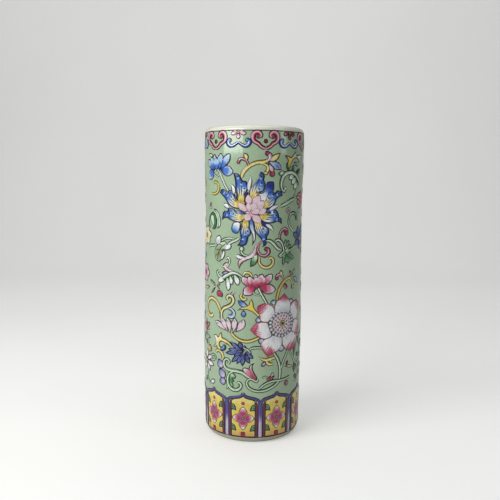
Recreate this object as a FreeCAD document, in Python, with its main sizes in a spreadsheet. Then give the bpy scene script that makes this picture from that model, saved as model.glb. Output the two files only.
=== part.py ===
"""Cylindrical porcelain vase with raised enamel borders, in millimetres.

The vase stands on Z = 0 with its axis on +Z, and its front faces -Y.
Every piece is turned or laid on one outline of the vase: the ceramic is held
back from it by the glaze, the glaze fills up to it, and the enamel stands on it.
"""

import FreeCAD, Part

import math
import os

import Sketcher

# Driving dimensions: name, value, what it is
SIZES = [
    ("vase_height", 280.0, "from the standing edge to the crest of the lip"),
    ("body_radius", 43.9, "outside of the body where the heel rounding ends"),
    ("foot_inset", 4.3, "standing edge inside the body radius"),
    ("heel_height", 9.0, "height of the heel rounding"),
    ("belly_swell", 1.1, "outline's pull at the low belly outside the body radius"),
    ("waist_swell", 0.2, "outline's pull at the waist outside the body radius"),
    ("shoulder_swell", 1.7, "outline's pull below the mouth outside the body radius"),
    ("mouth_swell", 0.8, "start of the lip rounding outside the body radius"),
    ("lip_round", 4.2, "outer rounding of the lip"),
    ("wall", 5.9, "from the bore to the body radius, over both glazes"),
    ("floor_height", 11.0, "top of the ceramic floor"),
    ("foot_ring_height", 5.0, "height of the turned foot ring"),
    ("foot_ring_width", 6.0, "width of the standing edge"),
    ("foot_edge_round", 0.8, "rounding of the foot ring's lower edges"),
    ("glaze", 0.5, "thickness of every glaze coat"),
    ("enamel_low", 0.25, "relief of the flat enamel grounds"),
    ("enamel_high", 0.5, "relief of the outlined enamel motifs"),
    ("bare_foot_height", 1.0, "unglazed part of the foot's outside"),
    ("foot_line_height", 5.2, "lower edge of the line round the foot"),
    ("foot_line_width", 0.7, "width of the line round the foot"),
    ("rim_line_width", 0.8, "width of the dark line under the lip"),
    ("lip_glaze_depth", 12.0, "how far the lip glaze reaches down inside"),
    ("lappet_count", 9, "lotus-petal lappets round the foot"),
    ("lappet_turn", -10.0, "angle of the front lappet, in degrees"),
    ("lappet_shoulder", 38.5, "height where a lappet's sides end"),
    ("lappet_rise", 7.7, "from there up to a lappet's point"),
    ("frame_width", 2.5, "width of the band that frames a lappet"),
    ("pier_width", 3.2, "width of the pale pier between two lappets"),
    ("laying_gap", 0.2, "bare glaze left between two laid enamels"),
    ("flower_raise", 1.7, "middle of a lappet flower above the middle of its panel"),
    ("petal_gap", 0.7, "from a petal's tip to the side of the panel"),
    ("leaf_width", 5.0, "how far a lappet leaf stands in from the side"),
    ("leaf_gap", 2.5, "from a petal's side to the nearest leaf"),
    ("leaf_shoulder_gap", 0.7, "from an upper leaf to the panel's shoulder"),
    ("bead_radius", 1.7, "round bead over a lappet flower"),
    ("bead_gap", 2.0, "from a petal's tip to that bead"),
    ("tab_width", 4.2, "square tab under a lappet flower"),
    ("tab_gap", 2.2, "from a petal's tip to that tab"),
    ("ruyi_count", 6, "ruyi cloud heads under the lip"),
    ("ruyi_turn", 12.2, "angle of the front ruyi head, in degrees"),
    ("ruyi_half_width", 12.0, "half the width of a ruyi head"),
    ("ruyi_height", 14.4, "height of a ruyi head"),
    ("ruyi_bead_radius", 1.7, "round bead inside a ruyi head"),
    ("ruyi_bead_drop", 8.0, "that bead below the head's top"),
    ("curl_gap", 0.15, "left between a cloud curl and a ruyi head, as drawn flat"),
    ("curl_height", 7.6, "height of a cloud curl"),
    ("curl_drop", 6.0, "top of a cloud curl below the rim line"),
    ("blossom_half_width", 6.5, "half the width of a border blossom"),
    ("blossom_drop", 0.3, "top of a border blossom below the rim line"),
    ("overrun", 5.0, "how far every cut runs past what it trims"),
]

# The outline's pulls between heel and mouth: the swell that each one takes, and
# its height as a share of the vase's height
OUTLINE_PULL_SHARES = [
    (None, 0.08),
    ("belly_swell", 0.20),
    ("belly_swell", 0.40),
    ("waist_swell", 0.62),
    ("waist_swell", 0.80),
    ("shoulder_swell", 0.925),
    ("mouth_swell", 0.97),
]

# Right half of a ruyi head's band from its lower tip: (x, y) shares of its
# half width and height, y down from its top, as (through, end) of each arc
RUYI_START_SHARES = (0.0, -1.0)
RUYI_ARC_SHARES = [
    ((0.17, -0.87), (0.41, -0.77)),
    ((0.85, -0.69), (1.0, -0.37)),
    ((0.86, -0.09), (0.56, 0.0)),
    ((0.28, -0.08), (0.21, -0.27)),
    ((0.37, -0.42), (0.53, -0.31)),
    ((0.66, -0.20), (0.77, -0.38)),
    ((0.70, -0.53), (0.43, -0.60)),
    ((0.19, -0.68), (0.0, -0.80)),
]

# Right half of a cloud curl from its lower tip, in the same way
CURL_START_SHARES = (0.0, -0.70)
CURL_ARC_SHARES = [
    ((0.16, -0.88), (0.46, -1.0)),
    ((0.86, -0.86), (1.0, -0.38)),
    ((0.94, -0.10), (0.78, 0.0)),
    ((0.61, -0.10), (0.64, -0.33)),
    ((0.72, -0.40), (0.77, -0.36)),
    ((0.73, -0.60), (0.46, -0.68)),
    ((0.17, -0.58), (0.0, -0.36)),
]

# Right half of a border blossom from its lower tip, as shares of its half
# width both ways, y from its middle
BLOSSOM_TOP_SHARE = 0.28
BLOSSOM_START_SHARES = (0.0, -0.72)
BLOSSOM_ARC_SHARES = [
    ((0.22, -0.44), (0.14, -0.14)),
    ((0.70, -0.30), (1.0, 0.03)),
    ((0.70, 0.24), (0.16, 0.09)),
    ((0.28, 0.18), (0.22, 0.26)),
    ((0.08, 0.26), (0.0, 0.10)),
]

# A lappet flower's petal from tip to notch, as shares of its reach along the
# petal and across it
PETAL_BULGE_SHARES = (0.66, 0.40)
PETAL_NOTCH_SHARE = 0.30

# One side of a lappet's arch from its shoulder to its point: shares of the half
# width and of the rise from shoulder to point
OGEE_PULL_SHARES = [(1.0, 0.40), (0.80, 0.48), (0.38, 0.52), (0.12, 0.70)]
INNER_POINT_SHARE = 1.25
INNER_SHOULDER_SHARE = 0.5

# A lappet leaf from its root at the side: shares of its width inwards and of
# its length up from the tip, as (through, end) of each arc
LEAF_ARC_SHARES = [((0.78, 0.88), (1.0, 0.0)), ((0.52, 0.24), (0.0, 0.14))]

doc = FreeCAD.newDocument("Vase")
sheet = doc.addObject("Spreadsheet::Sheet", "Sizes")
for row, (alias, value, meaning) in enumerate(SIZES, start=1):
    sheet.set("A%d" % row, str(value))
    sheet.set("B%d" % row, meaning)
    sheet.setAlias("A%d" % row, alias)
doc.recompute()


class Size:
    """A length with its number and the formula that a feature is bound to."""

    def __init__(self, number, formula):
        self.number = number
        self.formula = formula

    def __add__(self, other):
        return Size(self.number + other.number, "(%s + %s)" % (self.formula, other.formula))

    def __sub__(self, other):
        return Size(self.number - other.number, "(%s - %s)" % (self.formula, other.formula))

    def __mul__(self, share):
        return Size(self.number * share, "(%s * %s)" % (self.formula, share))

    def __neg__(self):
        return Size(-self.number, "(-%s)" % self.formula)


def size(alias):
    """The named size from the sheet."""
    return Size(float(sheet.get(alias)), "Sizes.%s" % alias)


def half_chord(radius, count):
    """Half the straight width of one of count equal places round a circle."""
    number = radius.number * math.sin(math.pi / count.number)
    return Size(number, "(%s * sin(180 / %s))" % (radius.formula, count.formula))


ZERO = Size(0.0, "0")
HALF_SHARE = 0.5
OVERRUN = size("overrun")
GLAZE = size("glaze")
LOW = size("enamel_low")
HIGH = size("enamel_high")
HEIGHT = size("vase_height")

BODY_RADIUS = size("body_radius")
FOOT_RADIUS = BODY_RADIUS - size("foot_inset")
FOOT_BORE_RADIUS = FOOT_RADIUS - size("foot_ring_width")
MOUTH_RADIUS = BODY_RADIUS + size("mouth_swell")
CREST_RADIUS = MOUTH_RADIUS - size("lip_round")
BORE_RADIUS = BODY_RADIUS - size("wall")
FAR_RADIUS = BODY_RADIUS + size("shoulder_swell") + OVERRUN
NEAR_RADIUS = FOOT_RADIUS - OVERRUN
LIP_SPRING = HEIGHT - size("lip_round")
LIP_INNER_SPRING = HEIGHT - (CREST_RADIUS - BORE_RADIUS)
LIP_BAND_FOOT = HEIGHT - size("lip_glaze_depth")
FOOT_LINE_TOP = size("foot_line_height") + size("foot_line_width")
RIM_LINE_FOOT = LIP_SPRING - size("rim_line_width")
CURL_HALF_WIDTH = (
    half_chord(MOUTH_RADIUS, size("ruyi_count")) - size("ruyi_half_width") - size("curl_gap")
)
BLOSSOM_MIDDLE = (
    RIM_LINE_FOOT - size("blossom_drop") - size("blossom_half_width") * BLOSSOM_TOP_SHARE
)
FRAME_HALF_WIDTH = (
    half_chord(BODY_RADIUS, size("lappet_count"))
    - size("pier_width") * HALF_SHARE
    - size("laying_gap")
)
LAPPET_PEAK = size("lappet_shoulder") + size("lappet_rise")
PANEL_HALF_WIDTH = FRAME_HALF_WIDTH - size("frame_width")
PANEL_SHOULDER = size("lappet_shoulder") - size("frame_width") * INNER_SHOULDER_SHARE
PANEL_PEAK = LAPPET_PEAK - size("frame_width") * INNER_POINT_SHARE
PETAL_REACH = PANEL_HALF_WIDTH - size("petal_gap")
PETAL_HALF_WIDTH = PETAL_REACH * PETAL_BULGE_SHARES[1]
FLOWER_MIDDLE = (FOOT_LINE_TOP + PANEL_SHOULDER) * HALF_SHARE + size("flower_raise")
UPPER_LEAF_TIP = FLOWER_MIDDLE + PETAL_HALF_WIDTH + size("leaf_gap")
LEAF_LENGTH = PANEL_SHOULDER - size("leaf_shoulder_gap") - UPPER_LEAF_TIP
LOWER_LEAF_TIP = FLOWER_MIDDLE - PETAL_HALF_WIDTH - size("leaf_gap") - LEAF_LENGTH
BEAD_MIDDLE = FLOWER_MIDDLE + PETAL_REACH + size("bead_gap") + size("bead_radius")
TAB_TOP = FLOWER_MIDDLE - PETAL_REACH - size("tab_gap")


def numbers(point):
    return (point[0].number, point[1].number)


def vector(point):
    return FreeCAD.Vector(point[0].number, point[1].number, 0)


def circle_centre(first, second, third):
    """The centre of the circle through three points given as numbers."""
    (ax, ay), (bx, by), (cx, cy) = first, second, third
    twice_area = 2 * (ax * (by - cy) + bx * (cy - ay) + cx * (ay - by))
    a, b, c = ax * ax + ay * ay, bx * bx + by * by, cx * cx + cy * cy
    x = (a * (by - cy) + b * (cy - ay) + c * (ay - by)) / twice_area
    y = (a * (cx - bx) + b * (ax - cx) + c * (bx - ax)) / twice_area
    return (x, y), twice_area > 0


def centre_on_height(first, second, height):
    """The point at a height that is as far from one point as from the other."""
    (ax, ay), (bx, by) = first, second
    return ((bx * bx - ax * ax + (by - height) ** 2 - (ay - height) ** 2) / (2 * (bx - ax)), height)


def arc_edge(centre, first, last):
    """A counter-clockwise arc from one point to another, given as numbers."""
    angles = [math.atan2(p[1] - centre[1], p[0] - centre[0]) for p in (first, last)]
    radius = math.dist(centre, first)
    circle = Part.Circle(FreeCAD.Vector(*centre, 0), FreeCAD.Vector(0, 0, 1), radius)
    return Part.ArcOfCircle(circle, *angles)


def origin_feature(body, role):
    return next(f for f in body.Origin.OriginFeatures if f.Role == role)


class Outline:
    """Closed outlines in one sketch of a body, each point bound to the sheet."""

    def __init__(self, body, name):
        self.sketch = body.newObject("Sketcher::SketchObject", name)
        self.sketch.AttachmentSupport = [(origin_feature(body, "XZ_Plane"), "")]
        self.sketch.MapMode = "FlatFace"

    def relate(self, kind, *parts):
        return self.sketch.addConstraint(Sketcher.Constraint(kind, *parts))

    def bind(self, kind, part, position, value):
        """Holds one coordinate of a point at a size, or on the axis."""
        if value is ZERO:
            self.relate("PointOnObject", part, position, -2 if kind == "DistanceX" else -1)
            return
        index = self.relate(kind, -1, 1, part, position, value.number)
        self.sketch.setExpression("Constraints[%d]" % index, value.formula)

    def hold(self, part, position, point):
        self.bind("DistanceX", part, position, point[0])
        self.bind("DistanceY", part, position, point[1])

    def start(self, x, y):
        """Begins an outline at its home point."""
        self.home = self.here = (x, y)
        self.first = self.last = None
        return self

    def add(self, edge, end, forward=True):
        """Joins an edge to the last one and holds its far end, or brings it home."""
        part = self.sketch.addGeometry(edge, False)
        near, far = (1, 2) if forward else (2, 1)
        if self.last is None:
            self.first = (part, near)
            self.hold(part, near, self.here)
        else:
            self.relate("Coincident", *self.last, part, near)
        if end is self.home:
            self.relate("Coincident", part, far, *self.first)
        else:
            self.hold(part, far, end)
        self.here = end
        self.last = (part, far)
        return part

    def line(self, x, y):
        self.add(Part.LineSegment(vector(self.here), vector((x, y))), (x, y))
        return self

    def close(self):
        self.add(Part.LineSegment(vector(self.here), vector(self.home)), self.home)
        return self

    def arc(self, through, end):
        """An arc through one point to the end."""
        near, middle, far = numbers(self.here), numbers(through), numbers(end)
        centre, forward = circle_centre(near, middle, far)
        edge = arc_edge(centre, near, far) if forward else arc_edge(centre, far, near)
        part = self.add(edge, end, forward)
        mark = self.sketch.addGeometry(Part.Point(vector(through)), True)
        self.hold(mark, 1, through)
        self.relate("PointOnObject", mark, 1, part)
        return self

    def rounding(self, end, centre_height):
        """An arc of less than a half circle to the end, about a centre at a height."""
        near, far = numbers(self.here), numbers(end)
        centre = centre_on_height(near, far, centre_height.number)
        cross = (near[0] - centre[0]) * (far[1] - centre[1]) - (near[1] - centre[1]) * (far[0] - centre[0])
        forward = cross > 0
        edge = arc_edge(centre, near, far) if forward else arc_edge(centre, far, near)
        part = self.add(edge, end, forward)
        self.bind("DistanceY", part, 3, centre_height)
        return self

    def curve(self, pulls, end):
        """A smooth curve to the end that leans towards each pull on its way."""
        poles = [self.here, *pulls, end]
        edge = Part.BSplineCurve([vector(p) for p in poles], None, None, False, 3, None, False)
        part = self.add(edge, end)
        weights = []
        for index, pole in enumerate(poles):
            circle = Part.Circle(vector(pole), FreeCAD.Vector(0, 0, 1), 1)
            weight = self.sketch.addGeometry(circle, True)
            if weights:
                self.relate("Equal", weights[0], weight)
            else:
                self.relate("Weight", weight, 1.0)
            self.relate("InternalAlignment:Sketcher::BSplineControlPoint", weight, 3, part, index)
            if pole in pulls:
                self.hold(weight, 3, pole)
            weights.append(weight)
        return self

    def disc(self, x, y, radius):
        """A full circle about a point."""
        circle = Part.Circle(vector((x, y)), FreeCAD.Vector(0, 0, 1), radius.number)
        part = self.sketch.addGeometry(circle, False)
        self.hold(part, 3, (x, y))
        index = self.relate("Radius", part, radius.number)
        self.sketch.setExpression("Constraints[%d]" % index, radius.formula)
        return self


def new_body(name):
    body = doc.addObject("PartDesign::Body", name)
    body.Label = name
    doc.recompute()
    return body


def finish_feature(body, feature):
    """Makes a feature the body's last and works it out."""
    body.Tip = feature
    doc.recompute()
    return feature


def turn(body, sketch, kind="Revolution"):
    """Turns an outline about the vase's axis, to add a ring or to cut one."""
    feature = body.newObject("PartDesign::%s" % kind, "%s_%s" % (sketch.Name, kind.lower()))
    feature.Profile = sketch
    feature.ReferenceAxis = (origin_feature(body, "Z_Axis"), [""])
    feature.Angle = 360
    before = body.Shape.Volume if kind == "Groove" else None
    finish_feature(body, feature)
    if before and not body.Shape.Volume < before:
        raise RuntimeError("%s cuts nothing" % feature.Name)
    return feature


def pull_radius(swell):
    """The radius of one of the outline's pulls."""
    return BODY_RADIUS + size(swell) if swell else BODY_RADIUS


def vase_side(outline, stand_off):
    """Draws the vase's outside from the standing edge to the crest of the lip."""
    outline.start(FOOT_RADIUS + stand_off, ZERO)
    outline.rounding((BODY_RADIUS + stand_off, size("heel_height")), size("heel_height"))
    pulls = [
        (pull_radius(swell) + stand_off, HEIGHT * share) for swell, share in OUTLINE_PULL_SHARES
    ]
    outline.curve(pulls, (MOUTH_RADIUS + stand_off, LIP_SPRING))
    outline.rounding((CREST_RADIUS, HEIGHT + stand_off), LIP_SPRING)
    return outline


def trim_outside(body, stand_off):
    """Cuts away what stands further out than the vase's side plus a stand-off."""
    cut = vase_side(Outline(body, "%s_outside" % body.Name), stand_off)
    cut.line(CREST_RADIUS, HEIGHT + OVERRUN)
    cut.line(FAR_RADIUS + OVERRUN, HEIGHT + OVERRUN)
    cut.line(FAR_RADIUS + OVERRUN, -OVERRUN)
    cut.line(FOOT_RADIUS + stand_off, -OVERRUN)
    cut.close()
    turn(body, cut.sketch, "Groove")


def trim_inside(body, stand_off):
    """Cuts away what lies further in than the vase's side plus a stand-off."""
    cut = vase_side(Outline(body, "%s_inside" % body.Name), stand_off)
    cut.line(ZERO, HEIGHT + stand_off)
    cut.line(ZERO, -OVERRUN)
    cut.line(FOOT_RADIUS + stand_off, -OVERRUN)
    cut.close()
    turn(body, cut.sketch, "Groove")


def coat(name, bottom, top, inner, outer):
    """A skin round the vase between two heights and two stand-offs."""
    body = new_body(name)
    blank = Outline(body, "%s_blank" % name)
    blank.start(NEAR_RADIUS, bottom)
    blank.line(FAR_RADIUS, bottom).line(FAR_RADIUS, top).line(NEAR_RADIUS, top).close()
    turn(body, blank.sketch)
    trim_outside(body, outer)
    trim_inside(body, inner)
    return body


def motif(name, draw, count, turned, inner, outer):
    """An enamel motif drawn flat, laid on the vase's side and repeated round it."""
    body = new_body(name)
    outline = Outline(body, "%s_outline" % name)
    draw(outline)
    pad = body.newObject("PartDesign::Pad", "%s_pad" % name)
    pad.Profile = outline.sketch
    pad.setExpression("Length", FAR_RADIUS.formula)
    finish_feature(body, pad)
    trim_outside(body, outer)
    trim_inside(body, inner)
    ring = body.newObject("PartDesign::PolarPattern", "%s_ring" % name)
    ring.TransformMode = "Whole shape"
    ring.Axis = (origin_feature(body, "Z_Axis"), [""])
    ring.Angle = 360
    ring.setExpression("Occurrences", count.formula)
    finish_feature(body, ring)
    body.setExpression("Placement.Rotation.Angle", turned.formula)
    doc.recompute()
    return body


def body_wall():
    """The thrown tube with its rounded lip, open at both ends."""
    body = new_body("body_wall")
    blank = Outline(body, "body_wall_blank")
    blank.start(BORE_RADIUS + GLAZE, size("foot_ring_height"))
    blank.line(BORE_RADIUS + GLAZE, LIP_INNER_SPRING)
    blank.rounding((CREST_RADIUS, HEIGHT - GLAZE), LIP_INNER_SPRING)
    blank.line(FAR_RADIUS, HEIGHT - GLAZE)
    blank.line(FAR_RADIUS, size("foot_ring_height"))
    blank.close()
    turn(body, blank.sketch)
    trim_outside(body, -GLAZE)
    return body


def base_slab():
    """The floor, a disc luted into the lower end of the tube."""
    body = new_body("base_slab")
    disc = Outline(body, "base_slab_disc")
    radius = BORE_RADIUS + GLAZE
    disc.start(ZERO, size("foot_ring_height")).line(radius, size("foot_ring_height"))
    disc.line(radius, size("floor_height")).line(ZERO, size("floor_height")).close()
    turn(body, disc.sketch)
    return body


def foot_ring():
    """The turned ring that the vase stands on, bare at its edge."""
    body = new_body("foot_ring")
    blank = Outline(body, "foot_ring_blank")
    blank.start(FOOT_BORE_RADIUS, ZERO).line(FAR_RADIUS, ZERO)
    blank.line(FAR_RADIUS, size("foot_ring_height"))
    blank.line(FOOT_BORE_RADIUS, size("foot_ring_height")).close()
    turn(body, blank.sketch)
    trim_outside(body, -GLAZE)
    ring = body.Tip
    standing = [
        "Edge%d" % number
        for number, edge in enumerate(ring.Shape.Edges, start=1)
        if edge.BoundBox.ZMax < size("foot_edge_round").number * HALF_SHARE and edge.isClosed()
    ]
    rounded = body.newObject("PartDesign::Fillet", "foot_ring_edges")
    rounded.Base = (ring, standing)
    rounded.setExpression("Radius", size("foot_edge_round").formula)
    finish_feature(body, rounded)
    return body


def inner_glaze():
    """The glaze lining over the floor and up the bore."""
    body = new_body("inner_glaze")
    lining = Outline(body, "inner_glaze_lining")
    lining.start(ZERO, size("floor_height"))
    lining.line(BORE_RADIUS + GLAZE, size("floor_height"))
    lining.line(BORE_RADIUS + GLAZE, LIP_BAND_FOOT)
    lining.line(BORE_RADIUS, LIP_BAND_FOOT)
    lining.line(BORE_RADIUS, size("floor_height") + GLAZE)
    lining.line(ZERO, size("floor_height") + GLAZE)
    lining.close()
    turn(body, lining.sketch)
    return body


def lip_glaze():
    """The white glaze wrapped over the lip and a little way down inside."""
    body = new_body("lip_glaze")
    band = Outline(body, "lip_glaze_band")
    band.start(MOUTH_RADIUS, LIP_SPRING)
    band.rounding((CREST_RADIUS, HEIGHT), LIP_SPRING)
    band.rounding((BORE_RADIUS, LIP_INNER_SPRING), LIP_INNER_SPRING)
    band.line(BORE_RADIUS, LIP_BAND_FOOT)
    band.line(BORE_RADIUS + GLAZE, LIP_BAND_FOOT)
    band.line(BORE_RADIUS + GLAZE, LIP_INNER_SPRING)
    band.rounding((CREST_RADIUS, HEIGHT - GLAZE), LIP_INNER_SPRING)
    band.rounding((MOUTH_RADIUS - GLAZE, LIP_SPRING), LIP_SPRING)
    band.close()
    turn(body, band.sketch)
    return body


def base_glaze():
    """The glaze on the underside, inside the foot ring."""
    body = new_body("base_glaze")
    disc = Outline(body, "base_glaze_disc")
    under = size("foot_ring_height") - GLAZE
    disc.start(ZERO, under).line(FOOT_BORE_RADIUS, under)
    disc.line(FOOT_BORE_RADIUS, size("foot_ring_height")).line(ZERO, size("foot_ring_height")).close()
    turn(body, disc.sketch)
    return body


def mirrored_arcs(outline, middle_height, scale_x, scale_y, start_shares, arc_shares):
    """Draws a right half given as shares, then its left half back to the start."""

    def place(shares, side):
        x = ZERO if shares[0] == 0 else scale_x * (side * shares[0])
        return (x, middle_height + scale_y * shares[1])

    outline.start(*place(start_shares, 1))
    for through, end in arc_shares:
        outline.arc(place(through, 1), place(end, 1))
    ends = [start_shares] + [end for through, end in arc_shares]
    for (through, end), back in reversed(list(zip(arc_shares, ends))):
        target = outline.home if back is start_shares else place(back, -1)
        outline.arc(place(through, -1), target)


def draw_ruyi_head(outline):
    mirrored_arcs(
        outline,
        RIM_LINE_FOOT,
        size("ruyi_half_width"),
        size("ruyi_height"),
        RUYI_START_SHARES,
        RUYI_ARC_SHARES,
    )


def draw_ruyi_bead(outline):
    outline.disc(ZERO, RIM_LINE_FOOT - size("ruyi_bead_drop"), size("ruyi_bead_radius"))


def draw_cloud_curl(outline):
    mirrored_arcs(
        outline,
        RIM_LINE_FOOT - size("curl_drop"),
        CURL_HALF_WIDTH,
        size("curl_height"),
        CURL_START_SHARES,
        CURL_ARC_SHARES,
    )


def draw_blossom(outline):
    mirrored_arcs(
        outline,
        BLOSSOM_MIDDLE,
        size("blossom_half_width"),
        size("blossom_half_width"),
        BLOSSOM_START_SHARES,
        BLOSSOM_ARC_SHARES,
    )


def ogee_arch(outline, side, half_width, shoulder, peak):
    """Draws an arch from the shoulder on one side, over its point, to the other."""
    rise = peak - shoulder

    def pull(shares, hand):
        return (half_width * (hand * shares[0]), shoulder + rise * shares[1])

    outline.curve([pull(shares, side) for shares in OGEE_PULL_SHARES], (ZERO, peak))
    back = [pull(shares, -side) for shares in reversed(OGEE_PULL_SHARES)]
    outline.curve(back, (half_width * -side, shoulder))


def draw_lappet_frame(outline):
    outline.start(-FRAME_HALF_WIDTH, FOOT_LINE_TOP)
    outline.line(-FRAME_HALF_WIDTH, size("lappet_shoulder"))
    ogee_arch(outline, -1, FRAME_HALF_WIDTH, size("lappet_shoulder"), LAPPET_PEAK)
    outline.line(FRAME_HALF_WIDTH, FOOT_LINE_TOP)
    outline.line(PANEL_HALF_WIDTH, FOOT_LINE_TOP)
    outline.line(PANEL_HALF_WIDTH, PANEL_SHOULDER)
    ogee_arch(outline, 1, PANEL_HALF_WIDTH, PANEL_SHOULDER, PANEL_PEAK)
    outline.line(-PANEL_HALF_WIDTH, FOOT_LINE_TOP)
    outline.close()


def draw_lappet_panel(outline):
    outline.start(-PANEL_HALF_WIDTH, FOOT_LINE_TOP)
    outline.line(-PANEL_HALF_WIDTH, PANEL_SHOULDER)
    ogee_arch(outline, -1, PANEL_HALF_WIDTH, PANEL_SHOULDER, PANEL_PEAK)
    outline.line(PANEL_HALF_WIDTH, FOOT_LINE_TOP)
    outline.close()


def draw_lappet_pier(outline):
    half = size("pier_width") * HALF_SHARE
    top = size("lappet_shoulder")
    outline.start(-half, FOOT_LINE_TOP).line(half, FOOT_LINE_TOP)
    outline.line(half, top).line(-half, top).close()


def draw_lappet_flower(outline):
    """Four pointed petals in a cross, right petal first, counter-clockwise."""
    along, across = PETAL_BULGE_SHARES
    notch = PETAL_NOTCH_SHARE

    def place(x_share, y_share, quarter):
        for _ in range(quarter):
            x_share, y_share = -y_share, x_share
        x = PETAL_REACH * x_share if x_share else ZERO
        return (x, FLOWER_MIDDLE + PETAL_REACH * y_share)

    outline.start(*place(1, 0, 0))
    for quarter in range(4):
        outline.arc(place(along, across, quarter), place(notch, notch, quarter))
        tip = outline.home if quarter == 3 else place(0, 1, quarter)
        outline.arc(place(across, along, quarter), tip)


def draw_lappet_leaves(outline):
    """Two pairs of leaves that grow from the sides of the panel."""
    for side in (-1, 1):
        for tip_height in (UPPER_LEAF_TIP, LOWER_LEAF_TIP):

            def place(shares):
                inwards = size("leaf_width") * shares[0]
                x = (PANEL_HALF_WIDTH - inwards) * side
                return (x, tip_height + LEAF_LENGTH * shares[1])

            outline.start(*place((0.0, 1.0)))
            for through, end in LEAF_ARC_SHARES:
                outline.arc(place(through), place(end))
            outline.close()


def draw_lappet_bead(outline):
    outline.disc(ZERO, BEAD_MIDDLE, size("bead_radius"))


def draw_lappet_tab(outline):
    half = size("tab_width") * HALF_SHARE
    outline.start(-half, FOOT_LINE_TOP).line(half, FOOT_LINE_TOP)
    outline.line(half, TAB_TOP).line(-half, TAB_TOP).close()


def border(names_and_drawings, count, turned):
    """Lays several motifs that share one repeat round the vase."""
    return [
        motif(name, draw, size(count), turned, inner, outer)
        for name, draw, inner, outer in names_and_drawings
    ]


def half_step(turned, count):
    """An angle that lies half a repeat further round."""
    return Size(
        turned.number - 180 / count.number, "(%s - 180 / %s)" % (turned.formula, count.formula)
    )


RUYI_TURN = size("ruyi_turn")
LAPPET_TURN = size("lappet_turn")

pieces = [
    body_wall(),
    base_slab(),
    foot_ring(),
    inner_glaze(),
    lip_glaze(),
    base_glaze(),
    coat("outer_glaze", size("foot_line_height"), LIP_SPRING, -GLAZE, ZERO),
    coat("foot_glaze", size("bare_foot_height"), size("foot_line_height"), -GLAZE, ZERO),
    coat("rim_line", RIM_LINE_FOOT, LIP_SPRING, ZERO, LOW),
    coat("foot_line", size("foot_line_height"), FOOT_LINE_TOP, ZERO, LOW),
]
pieces += border(
    [
        ("ruyi_heads", draw_ruyi_head, ZERO, HIGH),
        ("ruyi_beads", draw_ruyi_bead, ZERO, HIGH),
    ],
    "ruyi_count",
    RUYI_TURN,
)
pieces += border(
    [
        ("cloud_curls", draw_cloud_curl, ZERO, HIGH),
        ("border_blossoms", draw_blossom, ZERO, HIGH),
    ],
    "ruyi_count",
    half_step(RUYI_TURN, size("ruyi_count")),
)
pieces += border(
    [
        ("lappet_frames", draw_lappet_frame, ZERO, HIGH),
        ("lappet_panels", draw_lappet_panel, ZERO, LOW),
        ("lappet_flowers", draw_lappet_flower, LOW, HIGH),
        ("lappet_leaves", draw_lappet_leaves, LOW, HIGH),
        ("lappet_beads", draw_lappet_bead, LOW, HIGH),
        ("lappet_tabs", draw_lappet_tab, LOW, HIGH),
    ],
    "lappet_count",
    LAPPET_TURN,
)
pieces += border(
    [("lappet_piers", draw_lappet_pier, ZERO, LOW)],
    "lappet_count",
    half_step(LAPPET_TURN, size("lappet_count")),
)

doc.recompute()
for item in doc.Objects:
    if "Invalid" in item.State or "Error" in item.State:
        raise RuntimeError("%s did not work out: %s" % (item.Name, item.State))
for piece in pieces:
    if piece.Shape.isNull() or not piece.Shape.isValid():
        raise RuntimeError("%s has no valid shape" % piece.Label)

os.makedirs("parts", exist_ok=True)
for piece in pieces:
    piece.Shape.exportStep(os.path.join("parts", "%s.step" % piece.Label))
    print(piece.Label, len(piece.Shape.Solids), "solids", round(piece.Shape.Volume, 1), "mm3")
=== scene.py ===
"""Cylindrical porcelain vase dressed with glaze, lines and raised enamels.

The enamels are drawn on the unrolled side of the vase, in millimetres: a drawn
point is (distance round the vase from the middle of its front, to the right;
height above the standing edge), and a third value marks a corner. Each stroke and
petal becomes a closed shell of enamel that lies on the glaze.
"""

import math

import bpy
import numpy as np
from bpy.props import FloatProperty, FloatVectorProperty, IntProperty
from mathutils import Matrix, Vector
from mathutils.geometry import delaunay_2d_cdt


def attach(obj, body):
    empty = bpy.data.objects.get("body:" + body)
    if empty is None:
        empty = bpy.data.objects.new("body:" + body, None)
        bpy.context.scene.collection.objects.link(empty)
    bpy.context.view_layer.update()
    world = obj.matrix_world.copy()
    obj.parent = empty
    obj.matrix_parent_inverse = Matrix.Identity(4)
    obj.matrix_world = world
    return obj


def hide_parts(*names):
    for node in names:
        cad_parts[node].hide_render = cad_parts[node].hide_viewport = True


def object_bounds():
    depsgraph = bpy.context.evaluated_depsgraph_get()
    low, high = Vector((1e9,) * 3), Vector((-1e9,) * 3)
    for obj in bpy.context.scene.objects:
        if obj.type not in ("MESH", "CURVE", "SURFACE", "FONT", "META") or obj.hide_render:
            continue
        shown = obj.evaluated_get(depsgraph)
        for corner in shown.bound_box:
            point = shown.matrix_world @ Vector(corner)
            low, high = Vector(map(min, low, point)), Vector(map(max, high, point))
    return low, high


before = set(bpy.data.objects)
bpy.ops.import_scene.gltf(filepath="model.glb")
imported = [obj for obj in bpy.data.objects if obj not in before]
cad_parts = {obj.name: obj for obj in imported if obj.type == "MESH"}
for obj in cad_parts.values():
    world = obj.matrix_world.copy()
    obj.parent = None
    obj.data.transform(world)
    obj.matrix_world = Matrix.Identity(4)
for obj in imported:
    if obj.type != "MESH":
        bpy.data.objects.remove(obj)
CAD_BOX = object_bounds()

bl_info = {
    "name": "Enamelled Cylinder Vase",
    "version": (1, 0, 0),
    "blender": (4, 5, 0),
    "location": "3D View > Sidebar > Vase",
    "description": "Dresses a turned porcelain vase with glaze, a flower scroll and two borders",
    "category": "Object",
}

MM = 0.001
BODY = "root"
DRAWN_RADIUS = 44.0
GIRTH = 2 * math.pi * DRAWN_RADIUS
VASE_HEIGHT = CAD_BOX[1].z / MM
SINK = 0.06
WIDEST = 45.5
RING_SWELL = 0.16

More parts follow.
